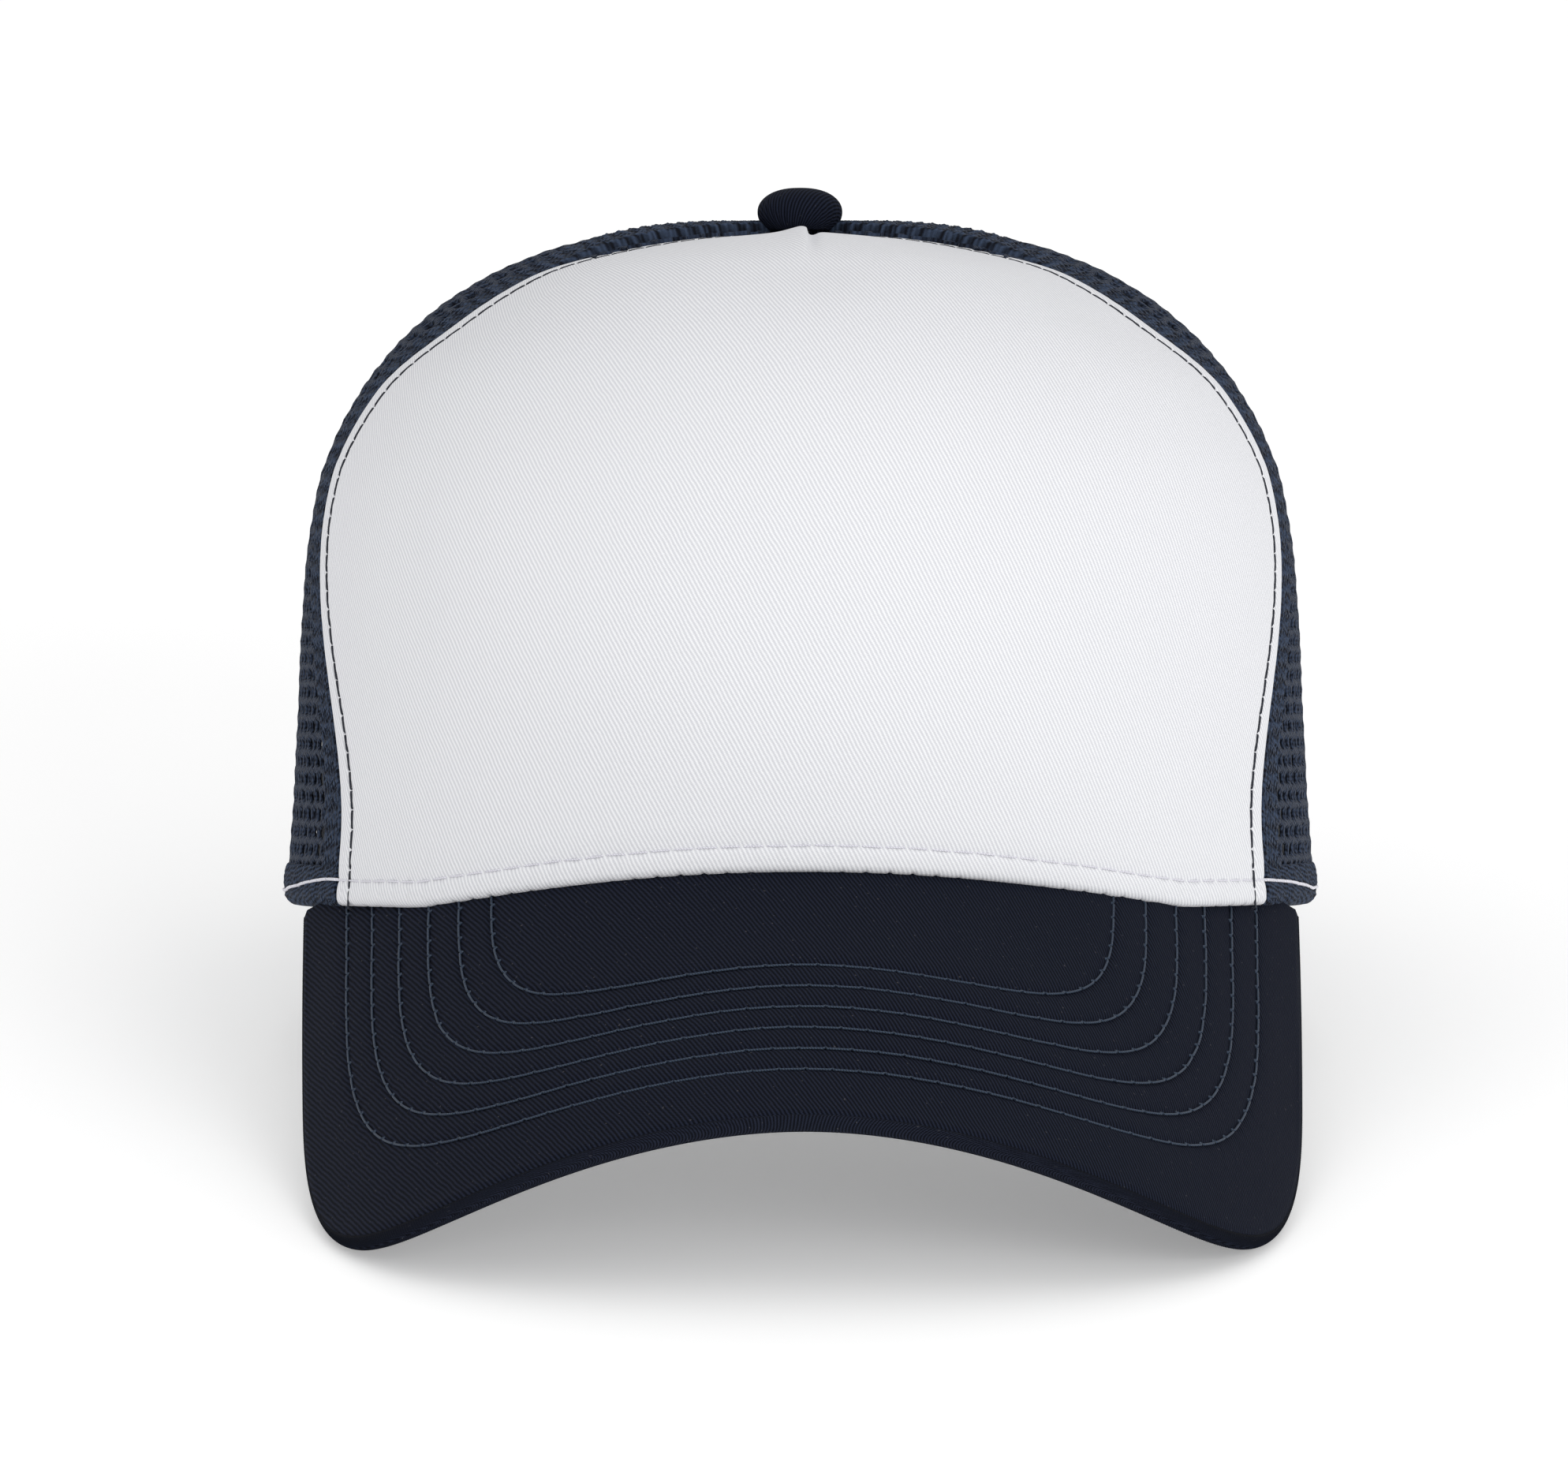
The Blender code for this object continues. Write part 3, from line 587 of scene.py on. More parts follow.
def knit(name, dark, light, strand, depth, sheen, tilt=0.0):
    """Net and terry yarn: wavy fuzzy strands, painted dark in the gaps between them as painted shade and light on
    their tops as painted highlights, mixed with random fibre tone.
    """
    make = Maker(name, light, 0.7, sheen, 0.4, 0.15)
    flat = make.flat()
    place = make.node("ShaderNodeVectorMath", i0=make.place(), i1=(1000.0, 1000.0, 1000.0))
    place.operation = "MULTIPLY"
    drift = make.noise(flat, 0.5, 3.0)
    phase = make.math("ADD", make.along(flat, (1.0 / strand, tilt / strand, 0.0)), make.math("MULTIPLY", drift, 1.6))
    strands = make.wave(phase)
    loops = make.wave(make.along(flat, (0.35 / strand, 0.8 / strand, 0.0)))
    fibre = make.noise(place.outputs[0], 3.2, 4.0, 0.65)
    height = make.math("MULTIPLY_ADD", strands, 0.55, make.math("MULTIPLY", fibre, 0.6))
    height = make.math("MULTIPLY_ADD", loops, 0.25, height)
    # dark where the relief is low and light where it is high: painted shade in the gaps and painted highlights on the
    # strand tops, with random fibre tone
    shade = make.remap(height, 0.4, 1.15)
    make.colour(make.mix(shade, dark, light))
    make.roughness(make.remap(fibre, 0.3, 0.7, 0.6, 0.85))
    make.relief(height, depth)
    return make.material


def thread(name, dark, light, sheen=0.25):
    """Two-ply sewing thread: the twist shows as slanting bands along it, painted darker in its hollows as painted
    shade.
    """
    make = Maker(name, light, 0.5, sheen, 0.4, 0.4)
    flat = make.flat()
    twist = make.wave(make.along(flat, (2.0, 2.2, 0.0)))
    fibre = make.noise(flat, 6.0, 2.0)
    height = make.math("MULTIPLY_ADD", fibre, 0.4, twist)
    # darker where the twist's relief is low: painted shade in the hollows between the plies
    make.colour(make.mix(make.remap(height, 0.1, 1.2), dark, light))
    make.relief(height, 0.06)
    return make.material


def moulded(name, colour, roughness, grain, metallic=0.0, specular=0.5):
    """Moulded plastic or stamped metal: fine grain, faint scuffs and flow marks."""
    make = Maker(name, colour, roughness, 0.0, 0.5, specular, metallic)
    place = make.node("ShaderNodeVectorMath", i0=make.place(), i1=(1000.0, 1000.0, 1000.0))
    place.operation = "MULTIPLY"
    fine = make.noise(place.outputs[0], 2.4, 3.0, 0.6)
    broad = make.noise(place.outputs[0], 0.12, 3.0, 0.5)
    scuff = make.remap(make.noise(place.outputs[0], 0.6, 5.0, 0.75), 0.58, 0.72)
    lighter = tuple(min(c * 1.6 + 0.01, 1.0) for c in colour)
    make.colour(make.mix(make.math("MULTIPLY", scuff, 0.25), colour, lighter))
    rough = make.remap(broad, 0.3, 0.7, roughness - 0.06, roughness + 0.08)
    make.roughness(make.math("MULTIPLY_ADD", scuff, 0.12, rough))
    make.relief(fine, grain)
    return make.material


# each twill's first colour is the painted shade of its grooves, and its second the cloth's own colour
WHITE_TWILL = twill("white_twill_cloth", (0.66, 0.665, 0.70), (0.90, 0.905, 0.925), 0.67, 62.0, 0.09, 0.08, wash=0.03)
NAVY_TWILL = twill(
    "navy_twill_cloth", (0.0010, 0.0015, 0.0042), (0.0150, 0.0195, 0.0370), 0.66, 114.0, 0.18, 0.0,
    (0.09, 0.085, 0.09), specular=0.08,
)
EDGE_TWILL = twill(
    "navy_edge_cloth", (0.0016, 0.0022, 0.0050), (0.0150, 0.0190, 0.0350), 0.6, 78.0, 0.14, 0.0,
    (0.09, 0.09, 0.1), specular=0.1,
)
TAPE_CLOTH = twill("navy_tape_cloth", (0.004, 0.006, 0.012), (0.018, 0.023, 0.040), 0.8, 45.0, 0.08, 0.03)
# each knit's dark colour is painted shade in the gaps between strands, and its light colour also serves as painted
# highlights on the strand tops
NET_YARN = knit("navy_net_yarn", (0.0025, 0.0040, 0.0100), (0.044, 0.064, 0.112), 0.62, 0.2, 0.06)
NET_FOLD = knit("navy_net_fold", (0.0018, 0.0030, 0.0080), (0.050, 0.074, 0.128), 0.8, 0.25, 0.06, 0.25)
BAND_CLOTH = knit("sweatband_cloth", (0.006, 0.008, 0.014), (0.026, 0.030, 0.046), 0.9, 0.16, 0.3, 0.6)
LINING_CLOTH = twill("lining_cloth", (0.60, 0.60, 0.60), (0.80, 0.80, 0.79), 1.1, 0.0, 0.1, 0.1, wash=0.05)
LABEL_CLOTH = twill("label_cloth", (0.42, 0.42, 0.44), (0.66, 0.66, 0.68), 0.4, 0.0, 0.04, 0.05)
# each thread's dark colour is painted shade in the hollows of its twist
NAVY_THREAD = thread("navy_thread", (0.003, 0.004, 0.009), (0.014, 0.019, 0.036), 0.05)
SLATE_THREAD = thread("slate_thread", (0.006, 0.013, 0.028), (0.026, 0.050, 0.092), 0.05)
WHITE_THREAD = thread("white_thread", (0.64, 0.63, 0.72), (0.88, 0.87, 0.92))
PLASTIC = moulded("strap_plastic_grain", (0.012, 0.015, 0.026), 0.42, 0.02)
BOARD = moulded("brim_board_plastic", (0.72, 0.72, 0.70), 0.55, 0.05)
METAL = moulded("button_steel", (0.62, 0.62, 0.63), 0.32, 0.01, 1.0)


# ---- front panel ----------------------------------------------------------------------------------------------

HEM_BAND = 0.044
DART_X = 1.0
DART_LENGTH = 49.0
PANEL_THICK = 0.9


def climb_height(hem, top, climb):
    """Heights that follow the crown's rounded section in even steps, as climb goes from 0 to 1."""
    start = np.arctan2(hem, CROWN_HEIGHT)
    turn = start + (0.5 * math.pi - start) * climb
    reach = (np.cos(turn) ** 3 + np.sin(turn) ** 3) ** (-1.0 / 3.0) * np.sin(turn)
    base = (np.cos(start) ** 3 + np.sin(start) ** 3) ** (-1.0 / 3.0) * np.sin(start)
    return hem + (top - hem) * (reach - base) / (1.0 - base)


def front_places():
    """(angle, height) grids of the front panel, with narrow columns and rows along its edges."""
    half = 170
    places = np.linspace(-1.0, 1.0, 2 * half + 1)
    fine = np.linspace(0.0, HEM_BAND, 34)
    climbs = np.concatenate([fine, np.linspace(HEM_BAND, 1.0, 150)[1:]])[:, None]
    side = np.sign(places)[None, :]
    inward = 1.0 - np.abs(places)[None, :]
    edge_share = 0.2

    def angle_at(height):
        seam = front_seam(height)
        radius = ring_radius(height)
        width = radius * seam
        band = np.minimum(6.0, 0.5 * width)
        middle = band + (width - band) * (inward - edge_share) / (1.0 - edge_share)
        distance = np.where(inward < edge_share, band * inward / edge_share, middle)
        return side * (seam - distance / radius), distance

    angle, distance = angle_at(np.zeros_like(climbs))
    hem = front_hem(angle)
    for _ in range(6):
        top = height_at_reach(angle, BUTTON_HOLE_RADIUS / HALF_WIDTH)
        height = climb_height(hem, top, climbs)
        angle, distance = angle_at(height)
    return angle, height, distance, hem


def settle(height):
    """How much lower the front panel lies towards its top, where the net's seam fold stands over it."""
    return 1.25 * smoothstep(*SETTLE_RISE, height)


def front_lift(grid, angle, height, distance, hem, up):
    """The cloth's relief: folded edges, puffed margins, stitch dimples, the dart and soft hollows."""
    arc = up[:, grid.shape[1] // 2][:, None]
    along_seam = up
    along_hem = angle * HALF_WIDTH
    above_hem = up
    lift = 0.5 - settle(height)
    fold = np.clip(distance / 1.1, 0.0, 1.0)
    lift -= 0.75 * (1.0 - np.sqrt(1.0 - (1.0 - fold) ** 2))
    dimples = stitches(along_seam, TOPSTITCH_PITCH, 0.3)
    lift -= (0.22 + 0.16 * dimples) * bump(distance - TOPSTITCH_IN, 0.55)
    lift += 0.12 * np.sin(math.pi * np.clip(distance / TOPSTITCH_IN, 0.0, 1.0)) * (1.0 - 0.5 * dimples)
    roll = np.clip(above_hem / 1.3, 0.0, 1.0)
    lift -= 0.95 * (1.0 - np.sqrt(1.0 - (1.0 - roll) ** 2))
    holes = stitches(along_hem, HEM_STITCH_PITCH, 0.22)
    lift -= (0.16 + 0.26 * holes) * bump(above_hem - HEM_STITCH_UP, 0.5)
    lift += 0.24 * np.sin(math.pi * np.clip(above_hem / HEM_STITCH_UP, 0.0, 1.0)) * (1.0 - 0.6 * holes)
    lift += 0.10 * bump(above_hem - HEM_STITCH_UP - 3.0, 2.2) * (1.0 - 0.6 * holes)
    x = grid[..., 0]
    from_top = arc[-1] - up
    from_top = up[-1][None, :] - up
    dart = 1.0 - smoothstep(0.6 * DART_LENGTH, DART_LENGTH, from_top)
    left = np.where(x < DART_X, np.exp(-((DART_X - x) / 3.6) ** 2), 1.0 - smoothstep(0.0, 0.35, x - DART_X))
    lift += (0.85 + 0.35 * bump(from_top, 12.0)) * dart * left
    lift -= 0.60 * dart * bump(x - DART_X - 1.0, 1.0)
    hollow = bump(x - DART_X - 2.0, 9.0) * bump(from_top - DART_LENGTH - 2.0, 8.0)
    lift -= 0.55 * hollow
    soft = np.sin(x / 17.0 + height / 23.0) * np.sin(height / 19.0 - x / 41.0)
    quiet = smoothstep(4.0, 22.0, distance) * smoothstep(5.0, 26.0, above_hem)
    lift += 0.32 * soft * quiet
    lift += 0.05 * np.sin(along_seam / TOPSTITCH_PITCH * 2.0 * math.pi) * bump(distance - 4.2, 1.6)
    return lift


def make_front():
    angle, height, distance, hem = front_places()
    grid = crown(angle, height)
    flat = flat_of(grid)
    lift = front_lift(grid, angle, height, distance, hem, flat[..., 1])
    # the hem's edge is pinched up a little at each stitch of the seam that joins it to the brim
    pinch = stitches(angle * HALF_WIDTH + 1.0, HEM_STITCH_PITCH, 0.18)
    height = height + 0.28 * pinch * bump(flat[..., 1], 0.8)
    outer = crown(angle, height, lift)
    # the inner face keeps clear of the net under the folded seam edge
    inner = crown(angle, height, np.minimum(lift - 0.35, -PANEL_THICK + 0.35 - 0.4 * settle(height)))
    panel = slab("front_panel_cloth", outer, inner, WHITE_TWILL, flat=flat, flip=True)
    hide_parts("front_panel")
    return panel


def crown_surface(route, lift):
    """surface() for thread rows whose route holds (angle, height)."""
    return crown(route[:, 0], route[:, 1], lift)


def settled_surface(route, lift):
    """As crown_surface, for threads that lie on the front panel."""
    return crown(route[:, 0], route[:, 1], lift - settle(route[:, 1]))


def seam_route(side, seam, inward, low, high, count=240):
    climb = np.linspace(0.0, 1.0, count)
    height = climb_height(low, high, climb)
    angle = side * (seam(height) - inward / ring_radius(height))
    return np.stack([angle, height], axis=1)


def hem_thread_height(angle):
    """The white thread drops a little from the front seam to the cap's side."""
    return 2.2 + (HEM_STITCH_UP - 2.2) * (1.0 - smoothstep(FRONT_SEAM_AT_HEM, 86.0, np.degrees(np.abs(angle))))


def make_front_stitching():
    rows = []
    for side in (-1.0, 1.0):
        start = float(front_hem(math.radians(FRONT_SEAM_AT_HEM - 2.0)))
        top = float(height_at_reach(math.radians(60.0), 8.5 / HALF_WIDTH))
        route = seam_route(side, front_seam, TOPSTITCH_IN, start - 0.6, top)
        rows.append(thread_row(settled_surface, route, TOPSTITCH_PITCH, 0.19, 0.44, 0.30, 0.17, shake=0.05))
    topstitch = thread_piece("front_topstitch", rows, NAVY_THREAD)
    angle = np.radians(np.linspace(-FRONT_SEAM_AT_HEM, FRONT_SEAM_AT_HEM, 400))
    route = np.stack([angle, front_hem(angle) + HEM_STITCH_UP], axis=1)
    row = thread_row(crown_surface, route, HEM_STITCH_PITCH, 0.15, 0.50, 0.40, 0.26, shake=0.05, seed=4)
    rows = [row]
    for side in (-1.0, 1.0):
        angle = side * np.radians(np.linspace(FRONT_SEAM_AT_HEM, 154.0, 300))
        route = np.stack([angle, hem_thread_height(angle) + 0.2 * np.sin(angle * 9.0)], axis=1)
        rows.append(thread_row(crown_surface, route, HEM_STITCH_PITCH, 0.27, 0.60, 0.0, 0.3, shake=0.12, seed=7))
    hem = thread_piece("hem_stitching", rows, WHITE_THREAD)
    return topstitch, hem


# ---- net panels -----------------------------------------------------------------------------------------------


class Gore:
    """A crown panel between two seams, unrolled: (s, t) are distances across from its middle and up."""

    def __init__(self, left, right, side):
        self.left, self.right, self.side = left, right, side
        middle = lambda height: (left(height) + right(height)) / 2.0
        top = float(height_at_reach(float(middle(np.array(CROWN_HEIGHT))), BUTTON_HOLE_RADIUS / HALF_WIDTH))
        self.heights = climb_height(0.0, top, np.linspace(0.0, 1.0, 240))
        self.middle = middle
        line = crown(middle(self.heights), self.heights)
        self.arcs = np.concatenate([[0.0], np.cumsum(np.linalg.norm(np.diff(line, axis=0), axis=1))])
        share = np.linspace(-0.6, 0.6, 61)
        span = (right(self.heights) - left(self.heights))[:, None]
        angles = middle(self.heights)[:, None] + span * share
        ring = crown(angles, self.heights[:, None])
        run = np.concatenate([np.zeros((240, 1)), np.cumsum(np.linalg.norm(np.diff(ring, axis=1), axis=-1), axis=1)], axis=1)
        self.run = run - run[:, 30:31]
        self.angles = angles
        self.half = self.run[:, 55]

    def height(self, t):
        return np.interp(t, self.arcs, self.heights)

    def half_width(self, t):
        return np.interp(t, self.arcs, self.half)

    def angle(self, s, t):
        row = np.clip(np.interp(t, self.arcs, np.arange(240.0)), 0.0, 238.999)
        low = row.astype(int)
        part = row - low
        found = []
        for index in (low, low + 1):
            scale = (self.run[index, 55] - self.run[index, 5]) / (self.angles[index, 55] - self.angles[index, 5])
            found.append(self.angles[index, 30] + s / scale)
        return found[0] * (1.0 - part) + found[1] * part

    def points(self, s, t, lift):
        found = crown(self.angle(s, t), self.height(t), lift)
        found[..., 0] *= self.side
        return found


def in_arch(gore, s, t, outset):
    point = gore.points(s, t, 0.0)
    x, z = np.abs(point[..., 0]), point[..., 2]
    spring = ARCH_HEIGHT - ARCH_HALF_WIDTH
    inside = np.where(z < spring, x < ARCH_HALF_WIDTH + outset, np.hypot(x, z - spring) < ARCH_HALF_WIDTH + outset)
    return inside & (point[..., 1] > 0.0)


def net_cells(gore, has_arch, low):
    """Centres of the net's cells that lie on the panel, in staggered rows."""
    rise = NET_PITCH * math.sqrt(3.0) / 2.0
    rows = int(gore.arcs[-1] / rise) + 2
    columns = int(gore.half.max() / NET_PITCH) + 2
    found = []
    for row in range(rows):
        for column in range(-columns, columns + 1):
            s, t = (column + 0.5 * (row % 2)) * NET_PITCH, low + row * rise
            if t < gore.arcs[-1] - 1.0 and abs(s) < float(gore.half_width(t)) - 0.2:
                found.append((row, 2 * column + row % 2, s, t))
    found = np.array(found)
    if has_arch:
        found = found[~in_arch(gore, found[:, 2], found[:, 3], 3.2)]
    return found


def make_net(name, gore, node, has_arch, seed):
    """Knitted net with real openings: each cell is a rounded ring of yarn round its hole."""
    cells = net_cells(gore, has_arch, 3.2)
    turn = 2.0 * math.pi * np.arange(12) / 12.0 + math.pi / 6.0
    corner = NET_PITCH / math.sqrt(3.0)
    reach = np.where(np.arange(12) % 2 == 0, corner, NET_PITCH / 2.0)
    turn = turn + 0.0
    rng = np.random.default_rng(seed)
    hole = rng.normal(1.0, 0.05, (len(cells), 1))
    centre = cells[:, 2:4]
    edge = centre[:, None] + np.stack([reach * np.cos(turn), reach * np.sin(turn)], axis=-1)[None]
    lips = []
    for scale in (1.0, 1.26):
        ring = np.stack([NET_HOLE[0] * np.cos(turn), NET_HOLE[1] * np.sin(turn)], axis=-1)[None]
        lips.append(centre[:, None] + ring * scale * hole[..., None])
    drift = 0.16 * np.stack(
        [np.sin(edge[..., 1] * 0.9 + seed) + np.sin(edge[..., 0] * 0.31), np.sin(edge[..., 0] * 1.1 + 2.0 * seed)], axis=-1
    )
    edge = edge + drift
    lips = [lip + drift for lip in lips]
    keys = np.round(edge * 50.0).astype(np.int64).reshape(-1, 2)
    _, first, index = np.unique(keys, axis=0, return_index=True, return_inverse=True)
    index = index.reshape(-1)
    shared = edge.reshape(-1, 2)[first]
    lump = lambda q: 0.10 * np.sin(q[..., 0] * 0.7 + q[..., 1] * 0.5) + 0.07 * np.sin(q[..., 1] * 1.9 - seed)
    layers, flats, starts = [], [], []

    def add(flat, lift):
        starts.append(sum(len(f) for f in flats))
        flat = flat.reshape(-1, 2)
        flats.append(flat)
        layers.append(gore.points(flat[:, 0], flat[:, 1], lift + lump(flat)))

    add(shared, 0.02)
    add(lips[1], -0.10)
    add(lips[0], -0.42)
    add(lips[1], -0.74)
    add(shared, -0.86)
    count = len(cells)
    around = index.reshape(count, 12)
    after = np.roll(around, -1, axis=1)
    own = np.arange(count * 12).reshape(count, 12)
    own_after = np.roll(own, -1, axis=1)
    sets = [
        (around + starts[0], after + starts[0], own_after + starts[1], own + starts[1]),
        (own + starts[1], own_after + starts[1], own_after + starts[2], own + starts[2]),
        (own + starts[2], own_after + starts[2], own_after + starts[3], own + starts[3]),
        (own + starts[3], own_after + starts[3], after + starts[4], around + starts[4]),
    ]
    faces = [np.stack(s, axis=-1).reshape(-1, 4) for s in sets]
    pairs = np.stack([around, after], axis=-1).reshape(-1, 2)
    _, which, times = np.unique(np.sort(pairs, axis=1), axis=0, return_inverse=True, return_counts=True)
    border = pairs[times[which.reshape(-1)] == 1]
    a, b = border[:, 0], border[:, 1]
    faces.append(np.stack([b + starts[0], a + starts[0], a + starts[4], b + starts[4]], axis=-1))
    faces = np.concatenate(faces)
    if gore.side < 0:
        faces = faces[:, ::-1]
    piece = add_piece(name, np.concatenate(layers), faces, NET_YARN, "cap", np.concatenate(flats), 80.0)
    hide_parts(node)
    return piece


def strip(name, routes, profile, material, flat_scale=1.0, angle=60.0):
    """A closed cloth strip: routes(across, lift) gives a row of points for each profile (across, lift) pair."""
    rows = np.stack([routes(across, lift) for across, lift in profile], axis=1)
    count, around = rows.shape[:2]
    faces = grid_quads(count, around, closed=True)
    length = np.concatenate([[0.0], np.cumsum(np.linalg.norm(np.diff(rows[:, 0], axis=0), axis=1))])
    width = np.array([across for across, _ in profile]) * flat_scale
    flat = np.stack(np.broadcast_arrays(width[None, :], length[:, None]), axis=-1)
    points = rows.reshape(-1, 3)
    flats = flat.reshape(-1, 2)
    # close both ends with a small fan of quads to the profile's middle
    for end, flip in ((0, False), (count - 1, True)):
        ring = end * around + np.arange(around)
        middle = points[ring].mean(axis=0)
        points = np.concatenate([points, middle[None]])
        flats = np.concatenate([flats, flats[ring].mean(axis=0)[None]])
        centre = len(points) - 1
        for k in range(0, around, 2):
            quad = [ring[k], centre, ring[(k + 2) % around], ring[(k + 1) % around]]
            faces = np.concatenate([faces, [quad[::-1] if flip else quad]])
    return add_piece(name, points, faces, material, "cap", flats, angle)


def rounded(half_width, low, high, count=9, power=0.55):
    """A strip's profile: (across, lift) pairs round a flat oval."""
    middle, half = (low + high) / 2.0, (high - low) / 2.0
    turns = [2.0 * math.pi * k / (2 * count) for k in range(2 * count)]
    pairs = []
    for turn in turns:
        cosine, sine = math.cos(turn), math.sin(turn)
        across = half_width * math.copysign(abs(cosine) ** power, cosine)
        pairs.append((across, middle + half * math.copysign(abs(sine) ** 0.8, sine)))
    return pairs


def ridged(half_width, low, high, pitch, deep):
    """A strip's profile whose upper side is a row of rounded strands."""
    across = np.linspace(half_width, -half_width, int(2.0 * half_width / pitch) * 6 + 1)
    shoulder = np.clip((half_width - np.abs(across)) / 0.8, 0.0, 1.0)
    strand = np.abs(np.sin(math.pi * (across + half_width) / pitch)) ** 0.6
    crest = low + (high - low) * np.sqrt(1.0 - (1.0 - shoulder) ** 2) - deep * (1.0 - strand) * shoulder
    upper = list(zip(across, crest))
    lower = [(x, low - 0.12) for x in np.linspace(-half_width + 0.3, half_width - 0.3, 8)]
    return upper + lower + ([(half_width - 0.1, low - 0.06)] if len(upper + lower) % 2 else [])


def seam_strip(
    name, seam, side, profile, start, end_radius, material, wave=0.0, puff=0.0, count=220, even=False
):
    """A strip that runs up a seam from a height to a ring round the button. Its upper side wanders by
    wave, and stands higher by puff near the top; even keeps it as wide there as below."""
    middle = (min(lift for _, lift in profile) + max(lift for _, lift in profile)) / 2.0
    top = float(height_at_reach(float(seam(np.array(CROWN_HEIGHT))), end_radius / HALF_WIDTH))
    height = climb_height(start, top, np.linspace(0.0, 1.0, count))

    def routes(across, lift):
        narrow = 1.0 if even else np.minimum(1.0, ring_radius(height) / 18.0)
        upper = 1.0 if lift > middle else 0.0
        run = np.linspace(0.0, count * 0.8, count)
        wander = wave * upper * (np.sin(run * 1.3 + across * 2.1) + 0.6 * np.sin(run * 2.9 - across * 3.7))
        angle = seam(height) + (across * narrow + 1.4 * wander) / ring_radius(height)
        ripple = wander + puff * upper * smoothstep(*SETTLE_RISE, height)
        points = crown(angle, height, lift + ripple)
        points[:, 0] *= side
        return points

    return strip(name, routes, profile, material)


def make_nets():
    made = {}
    for side, word, seed in ((-1.0, "left", 3), (1.0, "right", 5)):
        # the net runs on a little under the front panel's folded edge
        under_panel = lambda height: front_seam(height) - 1.6 / ring_radius(height)
        flank = Gore(under_panel, side_seam, side)
        back = Gore(side_seam, rear_seam, side)
        net = make_net(f"side_net_{word}", flank, f"side_mesh_{word}", False, seed)
        behind = make_net(f"rear_net_{word}", back, f"rear_mesh_{word}", True, seed + 1)
        fold = seam_strip(
            f"side_seam_fold_{word}", side_seam, side, ridged(3.6, -0.75, 0.5, STRAND_PITCH, 0.2), 1.0,
            BUTTON_HOLE_RADIUS, NET_FOLD, 0.06,
        )
        margin = lambda height: front_seam(height) + (FOLD_HALF_WIDTH + 0.3) / ring_radius(height)
        edge = seam_strip(
            f"front_seam_fold_{word}", margin, side, ridged(FOLD_HALF_WIDTH, -0.85, 0.42, STRAND_PITCH, 0.28), 0.6,
            BUTTON_HOLE_RADIUS, NET_FOLD, 0.10, 1.3, 420,
        )
        made[word] = (net, behind, fold, edge)
    centre = seam_strip(
        "rear_seam_fold", rear_seam, 1.0, ridged(3.6, -0.75, 0.5, STRAND_PITCH, 0.2), ARCH_HEIGHT + 0.5,
        BUTTON_HOLE_RADIUS, NET_FOLD, 0.06,
    )
    rows = []
    for seam, side in ((side_seam, -1.0), (side_seam, 1.0), (rear_seam, 1.0)):
        start = ARCH_HEIGHT + BINDING_WIDTH + 0.5 if seam is rear_seam else 1.0
        top = float(height_at_reach(float(seam(np.array(CROWN_HEIGHT))), 9.0 / HALF_WIDTH))
        for offset in (-2.4, 2.4):
            route = seam_route(side, seam, offset, start, top)
            rows.append(thread_row(crown_surface, route, TOPSTITCH_PITCH, 0.17, 0.5, 0.25, 0.3, shake=0.04))
    threads = thread_piece("seam_stitching", rows, SLATE_THREAD)
    return made, centre, threads


def make_net_hems():
    """The net's lower edge, folded under into a soft roll and stitched to the sweatband."""
    hems = []
    for side, word in ((-1.0, "left"), (1.0, "right")):
        low = math.radians(FRONT_SEAM_AT_HEM) + 0.6 / HALF_WIDTH
        high = math.pi - math.asin((ARCH_HALF_WIDTH + 0.5) / HALF_WIDTH)
        angle = np.linspace(low, high, 1300)
        arc = (angle - low) * HALF_WIDTH

        def routes(across, lift):
            upper = smoothstep(-0.5, 0.2, lift)
            strand = 0.09 * np.cos(2.0 * math.pi * (arc + 0.3 * np.sin(across * 1.7)) / STRAND_PITCH)
            lumps = 0.12 * np.sin(arc * 0.62) + 0.10 * np.sin(arc * 1.49 + across)
            pull = 0.40 * bump(across - (hem_thread_height(angle) - 3.1), 0.6)
            curl = 1.5 * np.clip((-1.0 - across) / 2.6, 0.0, 1.0) ** 2
            points = crown(angle, 3.1 + across + 0.0 * angle, lift + upper * (strand + lumps - pull) - curl)
            points[:, 0] *= side
            return points

        profile = rounded(3.6, -1.05, 0.60, 12, 0.8)
        hems.append(strip(f"net_hem_{word}", routes, profile, NET_FOLD))
    return hems


# ---- inside: lining, tapes, sweatband, label --------------------------------------------------------------------


def make_lining():
    columns, rows = 120, 110
    place = np.linspace(-1.0, 1.0, columns + 1)[None, :]
    climb = np.linspace(0.0, 1.0, rows + 1)[:, None]
    clear = TAPE_HALF_WIDTH - 1.0
    angle_at = lambda height: place * (front_seam(height) - clear / ring_radius(height))
    angle = angle_at(np.zeros_like(climb))
    hem = front_hem(angle) + 0.6
    for _ in range(6):
        top = height_at_reach(angle, 14.0 / HALF_WIDTH)
        height = climb_height(hem, top, climb)
        angle = angle_at(height)
    soft = 0.18 * np.sin(angle * 21.0 + height / 9.0) * np.sin(height / 7.0)
    inner = crown(angle, height, -2.55 + soft * 0.4)
    outer = crown(angle, height, -1.85)
    piece = slab("front_lining", outer, inner, LINING_CLOTH, flip=True)
    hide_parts("front_panel_lining")
    return piece


